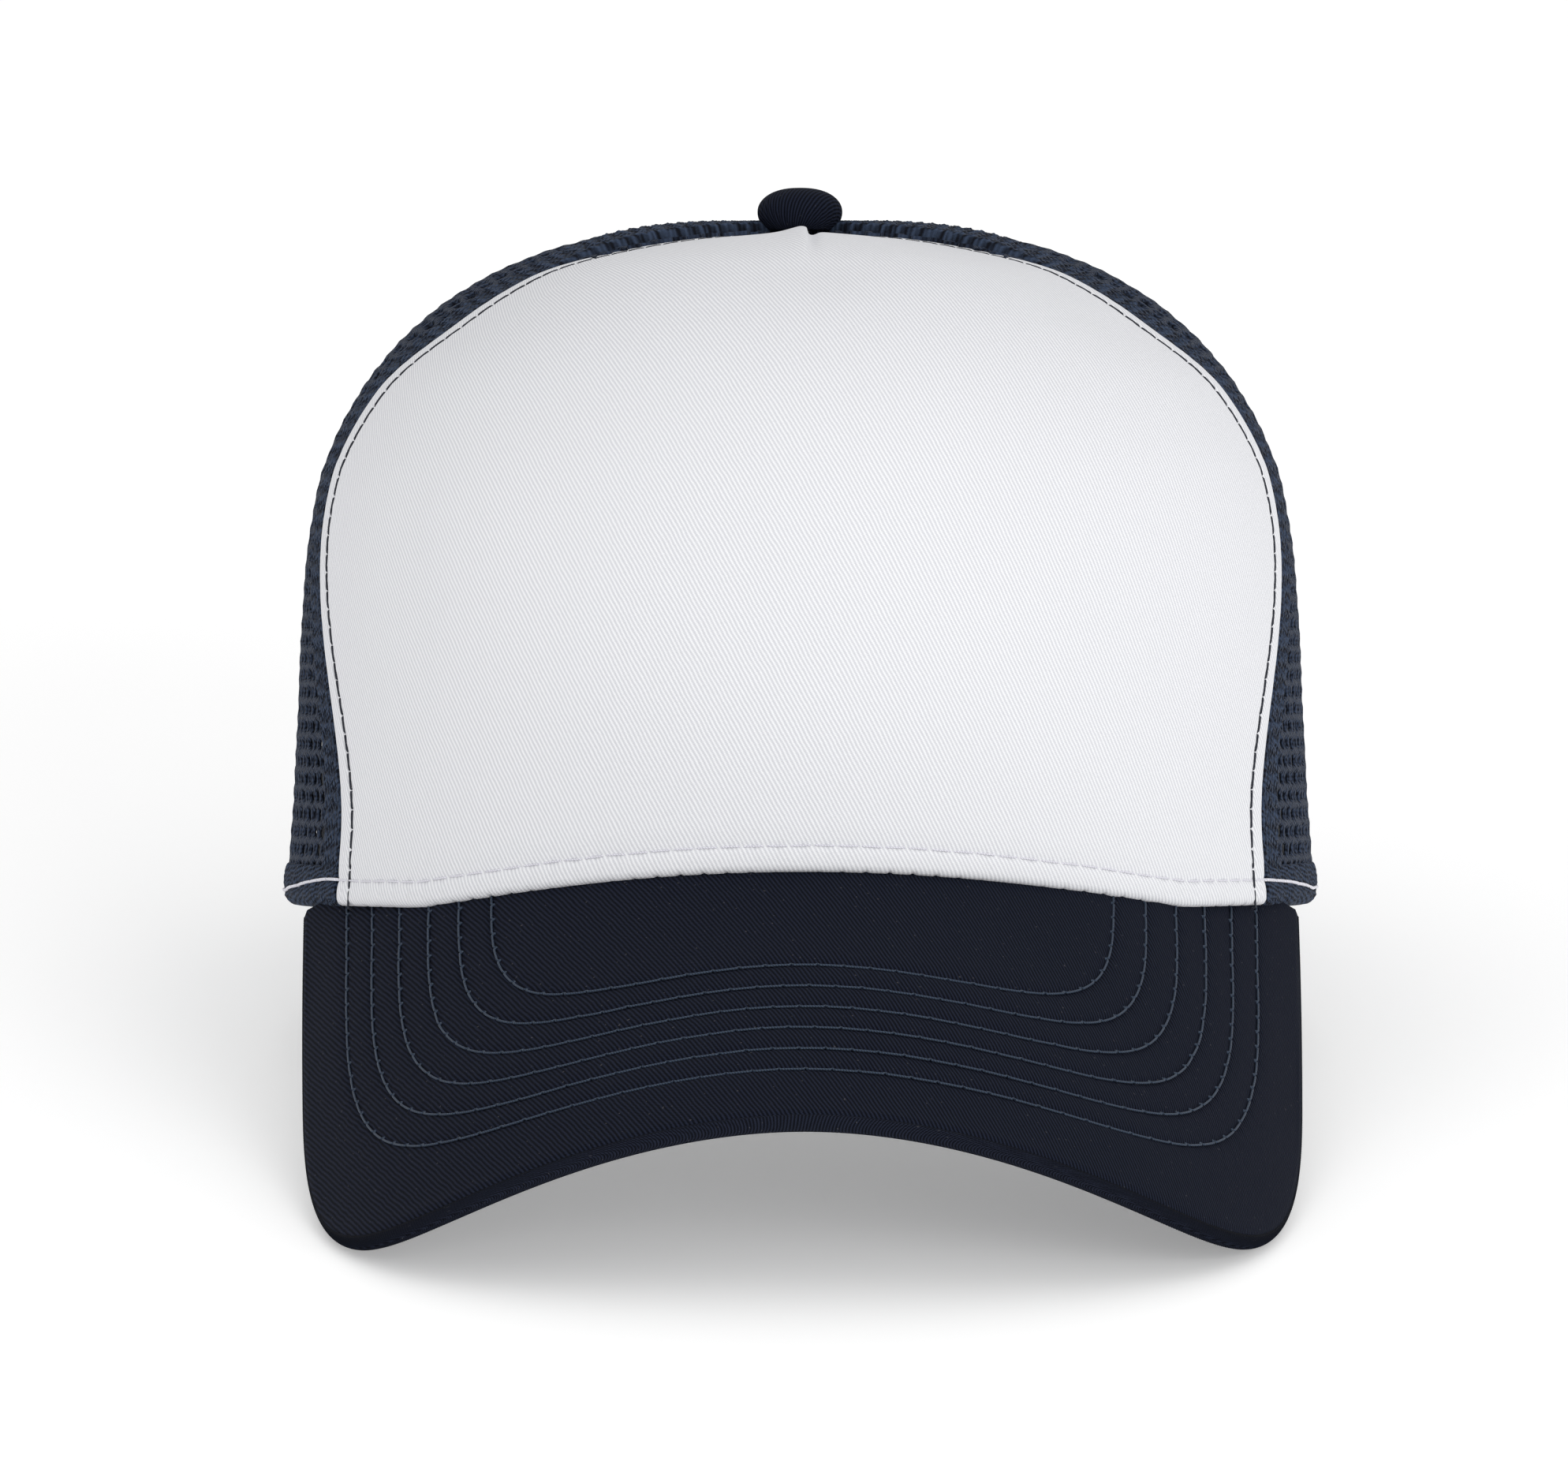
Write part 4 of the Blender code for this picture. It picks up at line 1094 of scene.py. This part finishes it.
def make_tapes():
    made = []
    rows = []
    for side, word in ((-1.0, "left"), (1.0, "right")):
        for seam, name, foot in ((front_seam, "front_seam_tape", 3.5), (side_seam, "side_seam_tape", 0.8)):
            piece = seam_strip(
                f"{name}_{word}_cloth", seam, side, rounded(TAPE_HALF_WIDTH, -2.75, -1.95), foot,
                TAPE_TOP_RADIUS, TAPE_CLOTH,
            )
            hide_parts(f"{name}_{word}")
            made.append(piece)
            for offset in (-4.6, 4.6):
                top = float(height_at_reach(float(seam(np.array(CROWN_HEIGHT))), (TAPE_TOP_RADIUS + 1.0) / HALF_WIDTH))
                route = seam_route(side, seam, offset, foot + 1.0, top)
                below = lambda r, lift: crown(r[:, 0], r[:, 1], -2.72 - lift)
                rows.append(thread_row(below, route, TOPSTITCH_PITCH, 0.17, 0.14, 0.2, 0.3, shake=0.05))
    centre = seam_strip(
        "centre_seam_tape_cloth", rear_seam, 1.0, rounded(TAPE_HALF_WIDTH, -2.75, -1.95),
        ARCH_HEIGHT + BINDING_WIDTH + 0.8, TAPE_TOP_RADIUS, TAPE_CLOTH,
    )
    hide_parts("centre_seam_tape")
    made.append(centre)
    stitching = thread_piece("tape_stitching", rows, NAVY_THREAD)
    return made, stitching


def arch_edge(outset, count=160):
    """(x, height) points round the rear arch, this far outside its edge."""
    half, spring = ARCH_HALF_WIDTH + outset, ARCH_HEIGHT - ARCH_HALF_WIDTH
    turn = np.linspace(0.0, math.pi, count)
    x = np.concatenate([[-half] * 8, -half * np.cos(turn), [half] * 8])
    legs = np.linspace(0.8, spring, 9)[:-1]
    z = np.concatenate([legs, spring + half * np.sin(turn), legs[::-1]])
    return x, z


def make_arch_binding():
    """Twill tape folded over the arch's edge, with a row of stitches near its outer side."""
    profile = [
        (BINDING_WIDTH, -2.0), (BINDING_WIDTH * 0.66, -1.95), (BINDING_WIDTH * 0.33, -1.95), (0.4, -1.9),
        (-0.35, -1.4), (-0.6, -0.6), (-0.35, 0.35), (0.4, 0.75), (2.2, 0.85), (4.6, 0.80), (6.4, 0.62),
        (7.6, 0.78), (8.6, 0.70), (9.0, 0.35), (8.7, 0.12), (6.5, 0.10), (3.0, 0.10), (0.7, 0.0),
        (0.25, -0.6), (0.7, -1.25), (3.0, -1.3), (BINDING_WIDTH - 0.2, -1.4),
    ]

    def routes(across, lift):
        x, z = arch_edge(across)
        return rear(x, z, lift)

    piece = strip("arch_binding_cloth", routes, profile, TAPE_CLOTH)
    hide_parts("arch_binding")
    x, z = arch_edge(6.5, 300)
    surface = lambda route, lift: rear(route[:, 0], route[:, 1], lift)
    row = thread_row(surface, np.stack([x, z], axis=1), TOPSTITCH_PITCH, 0.18, 0.84, -0.35, 0.3, shake=0.04)
    inside = lambda route, lift: rear(route[:, 0], route[:, 1], -2.02 - lift)
    back = thread_row(inside, np.stack([x, z], axis=1), TOPSTITCH_PITCH, 0.18, 0.1, 0.2, 0.3, shake=0.04)
    stitching = thread_piece("arch_binding_stitching", [row, back], SLATE_THREAD)
    return piece, stitching


def band_foot(angle):
    under = 4.0 * (1.0 - smoothstep(50.0, FRONT_SEAM_AT_HEM, np.degrees(np.abs(angle))))
    return front_hem(angle) + 0.5 - under


def make_sweatband():
    """A folded terry band: rounded top and bottom edges, a stitched channel and soft puckers."""
    angle = np.radians(np.linspace(-SWEATBAND_END, SWEATBAND_END, 620))
    foot = band_foot(angle)

    def routes(across, lift):
        height = foot + (SWEATBAND_TOP - foot) * across
        inner = lift < -5.0
        ripple = 0.10 * np.sin(angle * 62.0) * np.exp(-((across - 0.93) / 0.1) ** 2) if inner else 0.0
        points = crown(angle, np.maximum(height, 0.0), lift + ripple)
        points[:, 2] = height
        return points

    profile = [
        (0.0, -5.1), (0.012, -5.45), (0.05, -5.75), (0.12, -5.85), (0.2, -5.8), (0.24, -5.55), (0.28, -5.8),
        (0.4, -5.95), (0.55, -6.0), (0.7, -5.95), (0.84, -5.8), (0.875, -5.5), (0.91, -5.8), (0.96, -5.75),
        (0.99, -5.45), (1.0, -5.1), (0.985, -4.75), (0.94, -4.62), (0.7, -4.6), (0.4, -4.6), (0.1, -4.62),
        (0.015, -4.75),
    ]
    piece = strip("sweatband_cloth", routes, profile, BAND_CLOTH, flat_scale=28.0)
    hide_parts("sweatband")
    rows = []
    for share in (0.24, 0.875):
        height = foot + (SWEATBAND_TOP - foot) * share
        route = np.stack([angle, height], axis=1)[6:-6]
        surface = lambda r, lift: crown(r[:, 0], np.maximum(r[:, 1], 0.0), -5.52 - lift) + np.stack(
            [0.0 * r[:, 0], 0.0 * r[:, 0], np.minimum(r[:, 1], 0.0) * 0.0], axis=1
        )
        rows.append(thread_row(surface, route, 3.0, 0.17, 0.12, 0.2, 0.25, shake=0.05))
    stitching = thread_piece("sweatband_stitching", rows, NAVY_THREAD)
    return piece, stitching


def make_label():
    """A blank woven size label, sewn at its top edge."""
    angle = np.radians(np.linspace(128.0, 142.0, 40))[None, :]
    height = np.linspace(8.0, 24.0, 34)[:, None]
    curl = -0.25 * np.sin((height - 8.0) / 16.0 * math.pi) - 0.25 * np.exp(-(height - 8.0) / 2.0)
    outer = crown(angle, height, -6.12 + curl)
    inner = crown(angle, height, -6.42 + curl)
    piece = slab("size_label_cloth", outer, inner, LABEL_CLOTH, flip=True)
    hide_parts("size_label")
    route = np.stack([np.linspace(angle[0, 1], angle[0, -2], 80), np.full(80, 23.0)], axis=1)
    surface = lambda r, lift: crown(r[:, 0], r[:, 1], -6.5 - lift)
    row = thread_row(surface, route, 2.2, 0.12, 0.1, 0.2, 0.25)
    return piece, thread_piece("size_label_stitching", [row], WHITE_THREAD)


# ---- brim -------------------------------------------------------------------------------------------------------


def brim_outline(outset, roundness=BRIM_ROUNDNESS, count=400):
    """The flat sheet's outer edge from the left horn round the front to the right horn."""
    wide, back = BRIM_HALF_WIDTH + outset, HORN_HALF_WIDTH + outset
    length = BRIM_LENGTH + outset - BRIM_WIDEST
    share = np.linspace(1.0, 0.0, 60)[:-1]
    side = np.stack([wide - (wide - back) * share**2, BRIM_WIDEST + (HORN_BACK - BRIM_WIDEST) * share], axis=1)
    turn = np.linspace(0.0, math.pi, count)
    across = -wide * np.sign(np.cos(turn)) * np.abs(np.cos(turn)) ** (2.0 / roundness)
    forward = BRIM_WIDEST + length * np.clip(np.sin(turn), 0.0, 1.0) ** (2.0 / roundness)
    left = side * [-1.0, 1.0]
    return np.concatenate([left, np.stack([across, forward], axis=1), side[::-1]])


def along(points, share):
    lengths = np.concatenate([[0.0], np.cumsum(np.linalg.norm(np.diff(points, axis=0), axis=1))])
    return np.stack([np.interp(share * lengths[-1], lengths, points[:, k]) for k in (0, 1)], axis=-1)


def brim_flat_grid(places, shares, above, outset):
    """Flat coordinates between the root and the outer edge."""
    angle = np.radians(FRONT_SEAM_AT_HEM) * (2.0 * places - 1.0)
    root = np.stack(brim_flat_at(angle, above, BRIM_ROOT_DEPTH), axis=-1)
    edge = along(brim_outline(outset), places)
    return root[None] + (edge - root)[None] * shares[:, None, None]


def row_outline(row):
    """One stitched row, from where it comes out from under the crown to where it goes back."""
    wide = ROW_HALF_WIDTH - ROW_HALF_WIDTH_STEP * row
    widest = ROW_WIDEST + ROW_WIDEST_STEP * row
    length = ROW_REACH - ROW_REACH_STEP * row - widest
    power = 2.0 / (ROW_ROUNDNESS + ROW_ROUNDNESS_STEP * row)
    turn = np.linspace(0.0, math.pi, 900)
    across = -wide * np.sign(np.cos(turn)) * np.abs(np.cos(turn)) ** power
    forward = widest + length * np.clip(np.sin(turn), 0.0, 1.0) ** power
    behind = np.linspace(HORN_BACK, widest, 60)[:-1]
    left = np.stack([np.full_like(behind, -wide), behind], axis=1)
    right = left[::-1] * [-1.0, 1.0]
    line = np.concatenate([left, np.stack([across, forward], axis=1), right])
    points = brim(line[:, 0], line[:, 1], np.full(len(line), BRIM_TOP))
    plan = np.hypot(points[:, 0] / (HALF_WIDTH - 2.0), points[:, 1] / (FRONT_DEPTH - 2.0))
    line = line[(plan > 1.0) & (points[:, 1] < 0.0)]
    line, _ = resample(line, ROW_SAMPLE)
    return line


def row_distance(flat, rows):
    """Distance from flat points to the nearest stitched row, and how far along that row it is."""
    places = [np.arange(len(row)) * ROW_SAMPLE for row in rows]
    points = np.concatenate(rows)
    place = np.concatenate(places)
    tree = kdtree.KDTree(len(points))
    for k, (a, b) in enumerate(points):
        tree.insert((a, b, 0.0), k)
    tree.balance()
    found = [tree.find((a, b, 0.0)) for a, b in flat.reshape(-1, 2)]
    near = np.array([f[2] for f in found]).reshape(flat.shape[:-1])
    at = place[np.array([f[1] for f in found])].reshape(flat.shape[:-1])
    return near, at


def brim_relief(near, at, sign):
    """Grooves along the stitched rows, dimpled at each needle hole, and soft puffs between them."""
    holes = stitches(at, BRIM_STITCH_PITCH, 0.25)
    groove = (0.30 + 0.14 * holes) * bump(near, 0.62)
    puff = 0.12 * np.sin(math.pi * np.clip(near / (BRIM_ROW_PITCH / 2.0), 0.0, 1.0) / 2.0) ** 2
    puff = puff * np.exp(-((np.maximum(near - BRIM_ROW_PITCH / 2.0, 0.0) / 5.0) ** 2))
    ripple = 0.03 * np.sin(at / BRIM_STITCH_PITCH * 2.0 * math.pi) * bump(near - 1.4, 1.0)
    return sign * (puff - groove + ripple)


def make_brim_cover(name, node, material, rows, sign, lips, columns, steps):
    """One cover of the brim: a fine sheet with stitched grooves that turns round the board's edge."""
    outset = -BOARD_HALF
    level = BRIM_TOP * sign
    places = np.linspace(0.0, 1.0, columns + 1)
    shares = np.linspace(0.0, 1.0, steps + 1)
    flat = brim_flat_grid(places, shares, level, outset)
    near, at = row_distance(flat, rows)
    relief = brim_relief(near, at, sign)
    soft = 0.12 * np.sin(flat[..., 0] / 13.0) * np.sin(flat[..., 1] / 11.0)
    fade = smoothstep(0.0, 0.08, shares)[:, None] * (1.0 - smoothstep(0.97, 1.0, shares))[:, None]
    above = level + (relief + soft) * fade
    outer = [brim(flat[..., 0], flat[..., 1], above)]
    thin = COVER_THICK - 0.25
    inner = [brim(flat[..., 0], flat[..., 1], np.where(sign > 0, np.minimum(level - thin, above - 0.3), np.maximum(level + thin, above + 0.3)))]
    flats = [flat]
    for turn in lips:
        angle = math.radians(turn)
        for grids, size in ((outer, abs(level)), (inner, abs(level) - thin)):
            edge = along(brim_outline(outset + size * math.cos(angle)), places)
            grids.append(brim(edge[:, 0], edge[:, 1], np.full(len(edge), size * math.sin(angle)))[None])
        away = flat[-1] - flat[-2]
        away /= np.linalg.norm(away, axis=1, keepdims=True)
        arc = abs(level) * math.radians(90.0 - sign * turn if sign > 0 else 90.0 + turn)
        flats.append((flat[-1] + away * arc)[None])
    piece = slab(
        name, np.concatenate(outer), np.concatenate(inner), material,
        flat=np.concatenate(flats), flip=sign > 0,
    )
    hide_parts(node)
    return piece


def make_edge_roll():
    """The brim's rolled edge, gathered into fine ribs where the twill turns over the board."""
    ribs = 600
    samples = 4
    places = np.linspace(0.0, 1.0, ribs * samples + 1)
    rib = 0.5 + 0.5 * np.cos(2.0 * math.pi * np.arange(len(places)) / samples)
    turns = np.radians(np.linspace(58.0, -34.0, 12))
    grids = []
    for inset in (0.0, 0.30):
        rows = []
        for index, turn in enumerate(turns):
            end = min(index, len(turns) - 1 - index)
            proud = 0.05 if end == 0 else 0.26
            size = BRIM_TOP + proud - inset
            across = along(brim_outline(-BOARD_HALF + size * math.cos(turn)), places)
            deep = along(brim_outline(-BOARD_HALF + (size - 0.20) * math.cos(turn)), places)
            mix = rib[:, None] if end > 0 else 1.0
            spot = across * mix + deep * (1.0 - mix)
            level = size * math.sin(turn)
            rows.append(brim(spot[:, 0], spot[:, 1], np.full(len(spot), level)))
        grids.append(np.stack(rows))
    return slab("brim_edge_roll", grids[0], grids[1], EDGE_TWILL, flip=True, angle=75.0)


def make_brim():
    rows = [row_outline(k) for k in range(BRIM_ROWS)]
    columns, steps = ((460, 150))
    top = make_brim_cover(
        "brim_top_cloth", "brim_top_cover", NAVY_TWILL, rows, 1.0, (62.0, 34.0, 8.0, -16.0, -36.0), columns, steps,
    )
    under = make_brim_cover(
        "brim_under_cloth", "brim_under_cover", NAVY_TWILL, rows, -1.0, (-68.0, -52.0), columns // 2 + 60, steps - 30,
    )
    roll = make_edge_roll()
    upper = lambda route, lift: brim(route[:, 0], route[:, 1], BRIM_TOP - 0.26 + lift)
    lower = lambda route, lift: brim(route[:, 0], route[:, 1], -BRIM_TOP + 0.26 - lift)
    over = [
        thread_row(upper, row, BRIM_STITCH_PITCH, 0.20, 0.20, 0.04, 0.17, -0.62, 0.2, 0.04, k)
        for k, row in enumerate(rows)
    ]
    below = [
        thread_row(lower, row, BRIM_STITCH_PITCH, 0.19, 0.16, 0.22, 0.22, 0.30, 0.3, 0.05, k + 20)
        for k, row in enumerate(rows)
    ]
    top_threads = thread_piece("brim_top_stitching", over, SLATE_THREAD)
    under_threads = thread_piece("brim_under_stitching", below, SLATE_THREAD)
    return top, under, roll, top_threads, under_threads


# ---- button -----------------------------------------------------------------------------------------------------


def turned(profile, around, pleat=0.0):
    """(points, flat) grids of a shape turned round the crown's axis from (radius, height) pairs, whose
    lowest rings may be gathered into pleats."""
    phi = np.linspace(0.0, 2.0 * math.pi, around, endpoint=False)[None, :]
    radius, height = (profile[:, k][:, None] for k in (0, 1))
    low = 1.0 - smoothstep(0.15, 0.75, np.linspace(0.0, 1.0, len(profile)))[:, None]
    radius = radius + pleat * low * np.cos(PLEATS * phi + 0.8 * np.sin(3.0 * phi))
    points = np.stack(np.broadcast_arrays(radius * np.cos(phi), APEX_BACK + radius * np.sin(phi), height), axis=-1)
    arc = np.concatenate([[0.0], np.cumsum(np.linalg.norm(np.diff(profile, axis=0), axis=1))])
    from_top = (arc[-1] - arc)[:, None]
    flat = np.stack([from_top * np.cos(phi), from_top * np.sin(phi)], axis=-1)
    return points, flat


def end_faces(first, around):
    """Quads across a small ring of points, which close a turned shape."""
    k = np.arange(around // 2 - 1) + first
    last = first + around - 1
    return np.stack([k, k + 1, last - (k + 1 - first), last - (k - first)], axis=-1)


def cushion(radius, low, high, steps):
    """(radius, height) pairs up a covered button: drawn in below, widest under half way, domed on top."""
    turn = np.linspace(-0.30 * math.pi, math.pi / 2.0, steps)
    widest = low + 0.44 * (high - low)
    rise = (high - widest) * np.sin(np.maximum(turn, 0.0)) ** 0.96
    fall = (widest - low) * np.sin(np.minimum(turn, 0.0)) / math.sin(0.30 * math.pi)
    across = radius * np.maximum(np.cos(turn), 0.004) ** np.where(turn > 0.0, 0.86, 0.62)
    return np.stack([across, widest + rise + fall], axis=1)


def make_button():
    """The covered button: twill pulled over a core and gathered into fine pleats low down, on a shank."""
    around, steps = 240, 44
    base = CROWN_HEIGHT - DIP + BUTTON_GAP
    top = base + BUTTON_HEIGHT
    cloth = 0.5
    outer, flat = turned(cushion(BUTTON_RADIUS, base, top, steps), around, PLEAT_DEPTH)
    inner, _ = turned(cushion(BUTTON_RADIUS - cloth, base + cloth, top - cloth, steps), around)
    count = steps * around
    edge = np.arange(around)
    after = (edge + 1) % around
    faces = [
        grid_quads(steps, around, closed=True),
        grid_quads(steps, around, closed=True, start=count)[:, ::-1],
        np.stack([after, edge, edge + count, after + count], axis=-1),
        end_faces(count - around, around),
        end_faces(2 * count - around, around)[:, ::-1],
    ]
    points = np.concatenate([outer.reshape(-1, 3), inner.reshape(-1, 3)])
    flats = np.concatenate([flat.reshape(-1, 2)] * 2)
    cover = add_piece("button_cloth", points, np.concatenate(faces), NAVY_TWILL, "cap", flats)
    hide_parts("button_cover")
    inset = cloth + 0.3
    body = cushion(BUTTON_RADIUS - inset, base + inset, top - inset, 24)
    shank_end = CROWN_HEIGHT - DIP - SHANK_LENGTH
    shank = np.array([(0.02, shank_end), (SHANK_RADIUS - 0.3, shank_end), (SHANK_RADIUS, shank_end + 0.3)])
    neck = np.array([(SHANK_RADIUS, body[0, 1] - 0.05)])
    profile = np.concatenate([shank, neck, body])
    around = 48
    points, flat = turned(profile, around)
    faces = [
        grid_quads(len(profile), around, closed=True),
        end_faces(0, around)[:, ::-1],
        end_faces((len(profile) - 1) * around, around),
    ]
    core = add_piece(
        "button_core_steel", points, np.concatenate(faces), METAL, "cap", flat.reshape(-1, 2), 30.0,
    )
    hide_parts("button_core")
    return cover, core


# ---- snap straps ------------------------------------------------------------------------------------------------


def plate(name, start, end, layer, shift, hole_places, peg_places):
    """A moulded strap in flat coordinates (x, height, lift), with rounded edges, holes or pegs, then bent
    onto the rear of the crown."""
    rounding = 6.0
    half = (STRAP_HIGH - STRAP_LOW) / 2.0
    sign = math.copysign(1.0, end - start)
    turns = np.linspace(-math.pi / 2.0, math.pi / 2.0, 25)
    tip = end - sign * rounding
    outline = [(tip + sign * rounding * math.cos(t), half * math.sin(t) ** 1.0 if abs(t) > 9 else half * math.sin(t)) for t in turns]
    outline = [(start, -half)] + outline + [(start, half)]
    mesh = bpy.data.meshes.new(name)
    depth = -layer[0], -layer[1]
    points = [(x, z, depth[0]) for x, z in outline] + [(x, z, depth[1]) for x, z in outline]
    count = len(outline)
    faces = [tuple(range(count)), tuple(range(2 * count - 1, count - 1, -1))]
    faces += [(k, count + k, count + (k + 1) % count, (k + 1) % count) for k in range(count)]
    mesh.from_pydata(points, [], faces)
    obj = bpy.data.objects.new(name, mesh)
    bpy.context.scene.collection.objects.link(obj)
    tools = []

    def drum(place, radius, low, high, operation, sides=40):
        bpy.ops.mesh.primitive_cylinder_add(vertices=sides, radius=radius, depth=high - low)
        tool = bpy.context.object
        tool.location = (place, 0.0, (low + high) / 2.0)
        tools.append(tool)
        change = obj.modifiers.new(f"{operation} {len(tools)}", "BOOLEAN")
        change.object = tool
        change.operation = operation

    for place in hole_places:
        drum(place, HOLE_RADIUS + 1.1, depth[1] + 0.1, depth[0] + 0.22, "UNION")
        drum(place, HOLE_RADIUS, depth[1] - 2.0, depth[0] + 2.0, "DIFFERENCE")
    for place in peg_places:
        drum(place, PEG_RADIUS, depth[0] - 0.5, -HOLE_STRAP[0] + PEG_PROUD, "UNION")
        drum(place, PEG_RADIUS + 0.35, -HOLE_STRAP[0] + PEG_PROUD - 0.7, -HOLE_STRAP[0] + PEG_PROUD, "UNION")
    bevel = obj.modifiers.new("edges", "BEVEL")
    bevel.width = 0.22
    bevel.segments = 3
    bevel.limit_method = "ANGLE"
    bevel.angle_limit = math.radians(40.0)
    graph = bpy.context.evaluated_depsgraph_get()
    made = bpy.data.meshes.new_from_object(obj.evaluated_get(graph))
    bpy.data.objects.remove(obj)
    for tool in tools:
        bpy.data.objects.remove(tool)
    return cut_across(made, min(start, end), max(start, end), shift, name)


def cut_across(mesh, low, high, shift, name):
    """Cuts a flat strap into short lengths so that it can bend, then bends it onto the crown."""
    import bmesh

    work = bmesh.new()
    work.from_mesh(mesh)
    for x in np.arange(low + 1.5, high, 1.5):
        everything = work.verts[:] + work.edges[:] + work.faces[:]
        bmesh.ops.bisect_plane(work, geom=everything, plane_co=(x, 0.0, 0.0), plane_no=(1.0, 0.0, 0.0), dist=1e-5)
    flat = np.array([v.co for v in work.verts])
    lift = flat[:, 2] - shift(flat[:, 0])
    height = flat[:, 1] + STRAP_MIDDLE
    bent = np.array([part_rear_point(x, z, -t) for x, z, t in zip(flat[:, 0], height, lift)])
    bent = to_world(bent)
    for vertex, point in zip(work.verts, bent):
        vertex.co = Vector(point)
    bmesh.ops.recalc_face_normals(work, faces=work.faces)
    made = bpy.data.meshes.new(name)
    work.to_mesh(made)
    work.free()
    values = np.zeros((len(flat), 3), np.float32)
    values[:, :2] = flat[:, :2]
    made.attributes.new("flat", "FLOAT_VECTOR", "POINT").data.foreach_set("vector", values.ravel())
    made.shade_smooth()
    made.set_sharp_from_angle(angle=math.radians(35.0))
    made.materials.append(PLASTIC)
    obj = bpy.data.objects.new(name, made)
    bpy.context.scene.collection.objects.link(obj)
    return obj


def make_straps():
    """Each strap is one moulding with its sewn-in tab, bent along the rear of the crown."""
    middle = part_rear_point(0.0, STRAP_MIDDLE, TAB_DEPTH)
    made = []
    for side, word, tip in ((-1.0, "hole", STRAP_TIP), (1.0, "peg", -STRAP_TIP)):
        if word == "hole":
            shift = lambda x: np.zeros_like(x)
            holes, pegs, layer = [k * PEG_PITCH for k in range(-3, 3)], [], HOLE_STRAP
        else:
            drop = PEG_STRAP[0] - HOLE_STRAP[0]
            shift = lambda x, drop=drop: -drop * smoothstep(STRAP_TIP + 2.0, STRAP_ROOT - 2.0, x)
            holes, pegs, layer = [], [k * PEG_PITCH for k in range(-2, 3)], PEG_STRAP
        strap = plate(f"{word}_strap_moulding", side * TAB_END, tip, layer, shift, holes, pegs)
        near = to_world(part_rear_point(side * (STRAP_ROOT + 2.5), STRAP_MIDDLE, TAB_DEPTH))
        far = to_world(part_rear_point(side * (STRAP_ROOT - 3.5), STRAP_MIDDLE, TAB_DEPTH))
        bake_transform(strap)
        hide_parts(f"{word}_strap", f"{word}_strap_tab")
        made.append(strap)
    return made


# ---- studio -----------------------------------------------------------------------------------------------------

FLOOR_GLOW = 0.26
WORLD_LIGHT = 0.72
ELEVATION = 14.8
AZIMUTH = 0.18
DISTANCE = 2.45
LENS = 332.4
SENSOR = 36.0
TARGET = Vector((-0.0029, 0.0, 0.0605))


def make_camera():
    data = bpy.data.cameras.new("camera")
    data.lens = LENS
    data.sensor_width = SENSOR
    data.clip_start = 0.05
    camera = bpy.data.objects.new("camera", data)
    bpy.context.scene.collection.objects.link(camera)
    up, round_ = math.radians(ELEVATION), math.radians(AZIMUTH)
    sight = Vector((math.sin(round_) * math.cos(up), math.cos(round_) * math.cos(up), -math.sin(up)))
    camera.location = TARGET - sight * DISTANCE
    camera.rotation_euler = sight.to_track_quat("-Z", "Y").to_euler()
    bpy.context.scene.camera = camera


def area_light(name, place, size, power, target=(0.0, 0.0, 0.07)):
    data = bpy.data.lights.new(name, "AREA")
    data.shape = "RECTANGLE"
    data.size, data.size_y = size
    data.energy = power
    obj = bpy.data.objects.new(name, data)
    bpy.context.scene.collection.objects.link(obj)
    obj.location = place
    obj.rotation_euler = (Vector(target) - Vector(place)).to_track_quat("-Z", "Y").to_euler()
    return obj


def make_studio():
    size = 12.0
    mesh = bpy.data.meshes.new("studio_floor")
    mesh.from_pydata([(-size, -size, 0), (size, -size, 0), (size, size, 0), (-size, size, 0)], [], [(0, 1, 2, 3)])
    floor = bpy.data.objects.new("studio_floor", mesh)
    bpy.context.scene.collection.objects.link(floor)
    floor.location.z = -0.0006
    pale = bpy.data.materials.new("studio_floor_paint")
    pale.use_nodes = True
    shader = pale.node_tree.nodes["Principled BSDF"]
    shader.inputs["Base Color"].default_value = (0.93, 0.93, 0.93, 1.0)
    shader.inputs["Roughness"].default_value = 0.9
    shader.inputs["Specular IOR Level"].default_value = 0.1
    shader.inputs["Emission Color"].default_value = (1.0, 1.0, 1.0, 1.0)
    shader.inputs["Emission Strength"].default_value = FLOOR_GLOW
    mesh.materials.append(pale)
    world = bpy.data.worlds.new("studio_world")
    world.use_nodes = True
    world.node_tree.nodes["Background"].inputs["Color"].default_value = (1.0, 1.0, 1.0, 1.0)
    world.node_tree.nodes["Background"].inputs["Strength"].default_value = WORLD_LIGHT
    bpy.context.scene.world = world
    area_light("key", (1.15, -1.95, 0.85), (1.4, 1.0), 17.5)
    area_light("fill", (-1.6, -1.6, 0.8), (1.2, 1.2), 3.0)
    area_light("top", (0.0, 0.0, 2.4), (2.4, 2.4), 4.0)
    bpy.context.scene.view_settings.view_transform = "Standard"


# ---- the whole cap ----------------------------------------------------------------------------------------------


def dress_cad_nodes():
    """The rigid CAD solids that stay as they are take a finished material."""
    finishes = {"brim_board": BOARD, "button_washer": METAL}
    for name, material in finishes.items():
        slots = frame["nodes"][name].data.materials
        slots.clear()
        slots.append(material)


def main():
    make_camera()
    make_studio()
    dress_cad_nodes()
    make_front()
    make_front_stitching()
    make_nets()
    make_net_hems()
    make_lining()
    make_tapes()
    make_arch_binding()
    make_sweatband()
    make_label()
    make_brim()
    make_button()
    make_straps()


main()
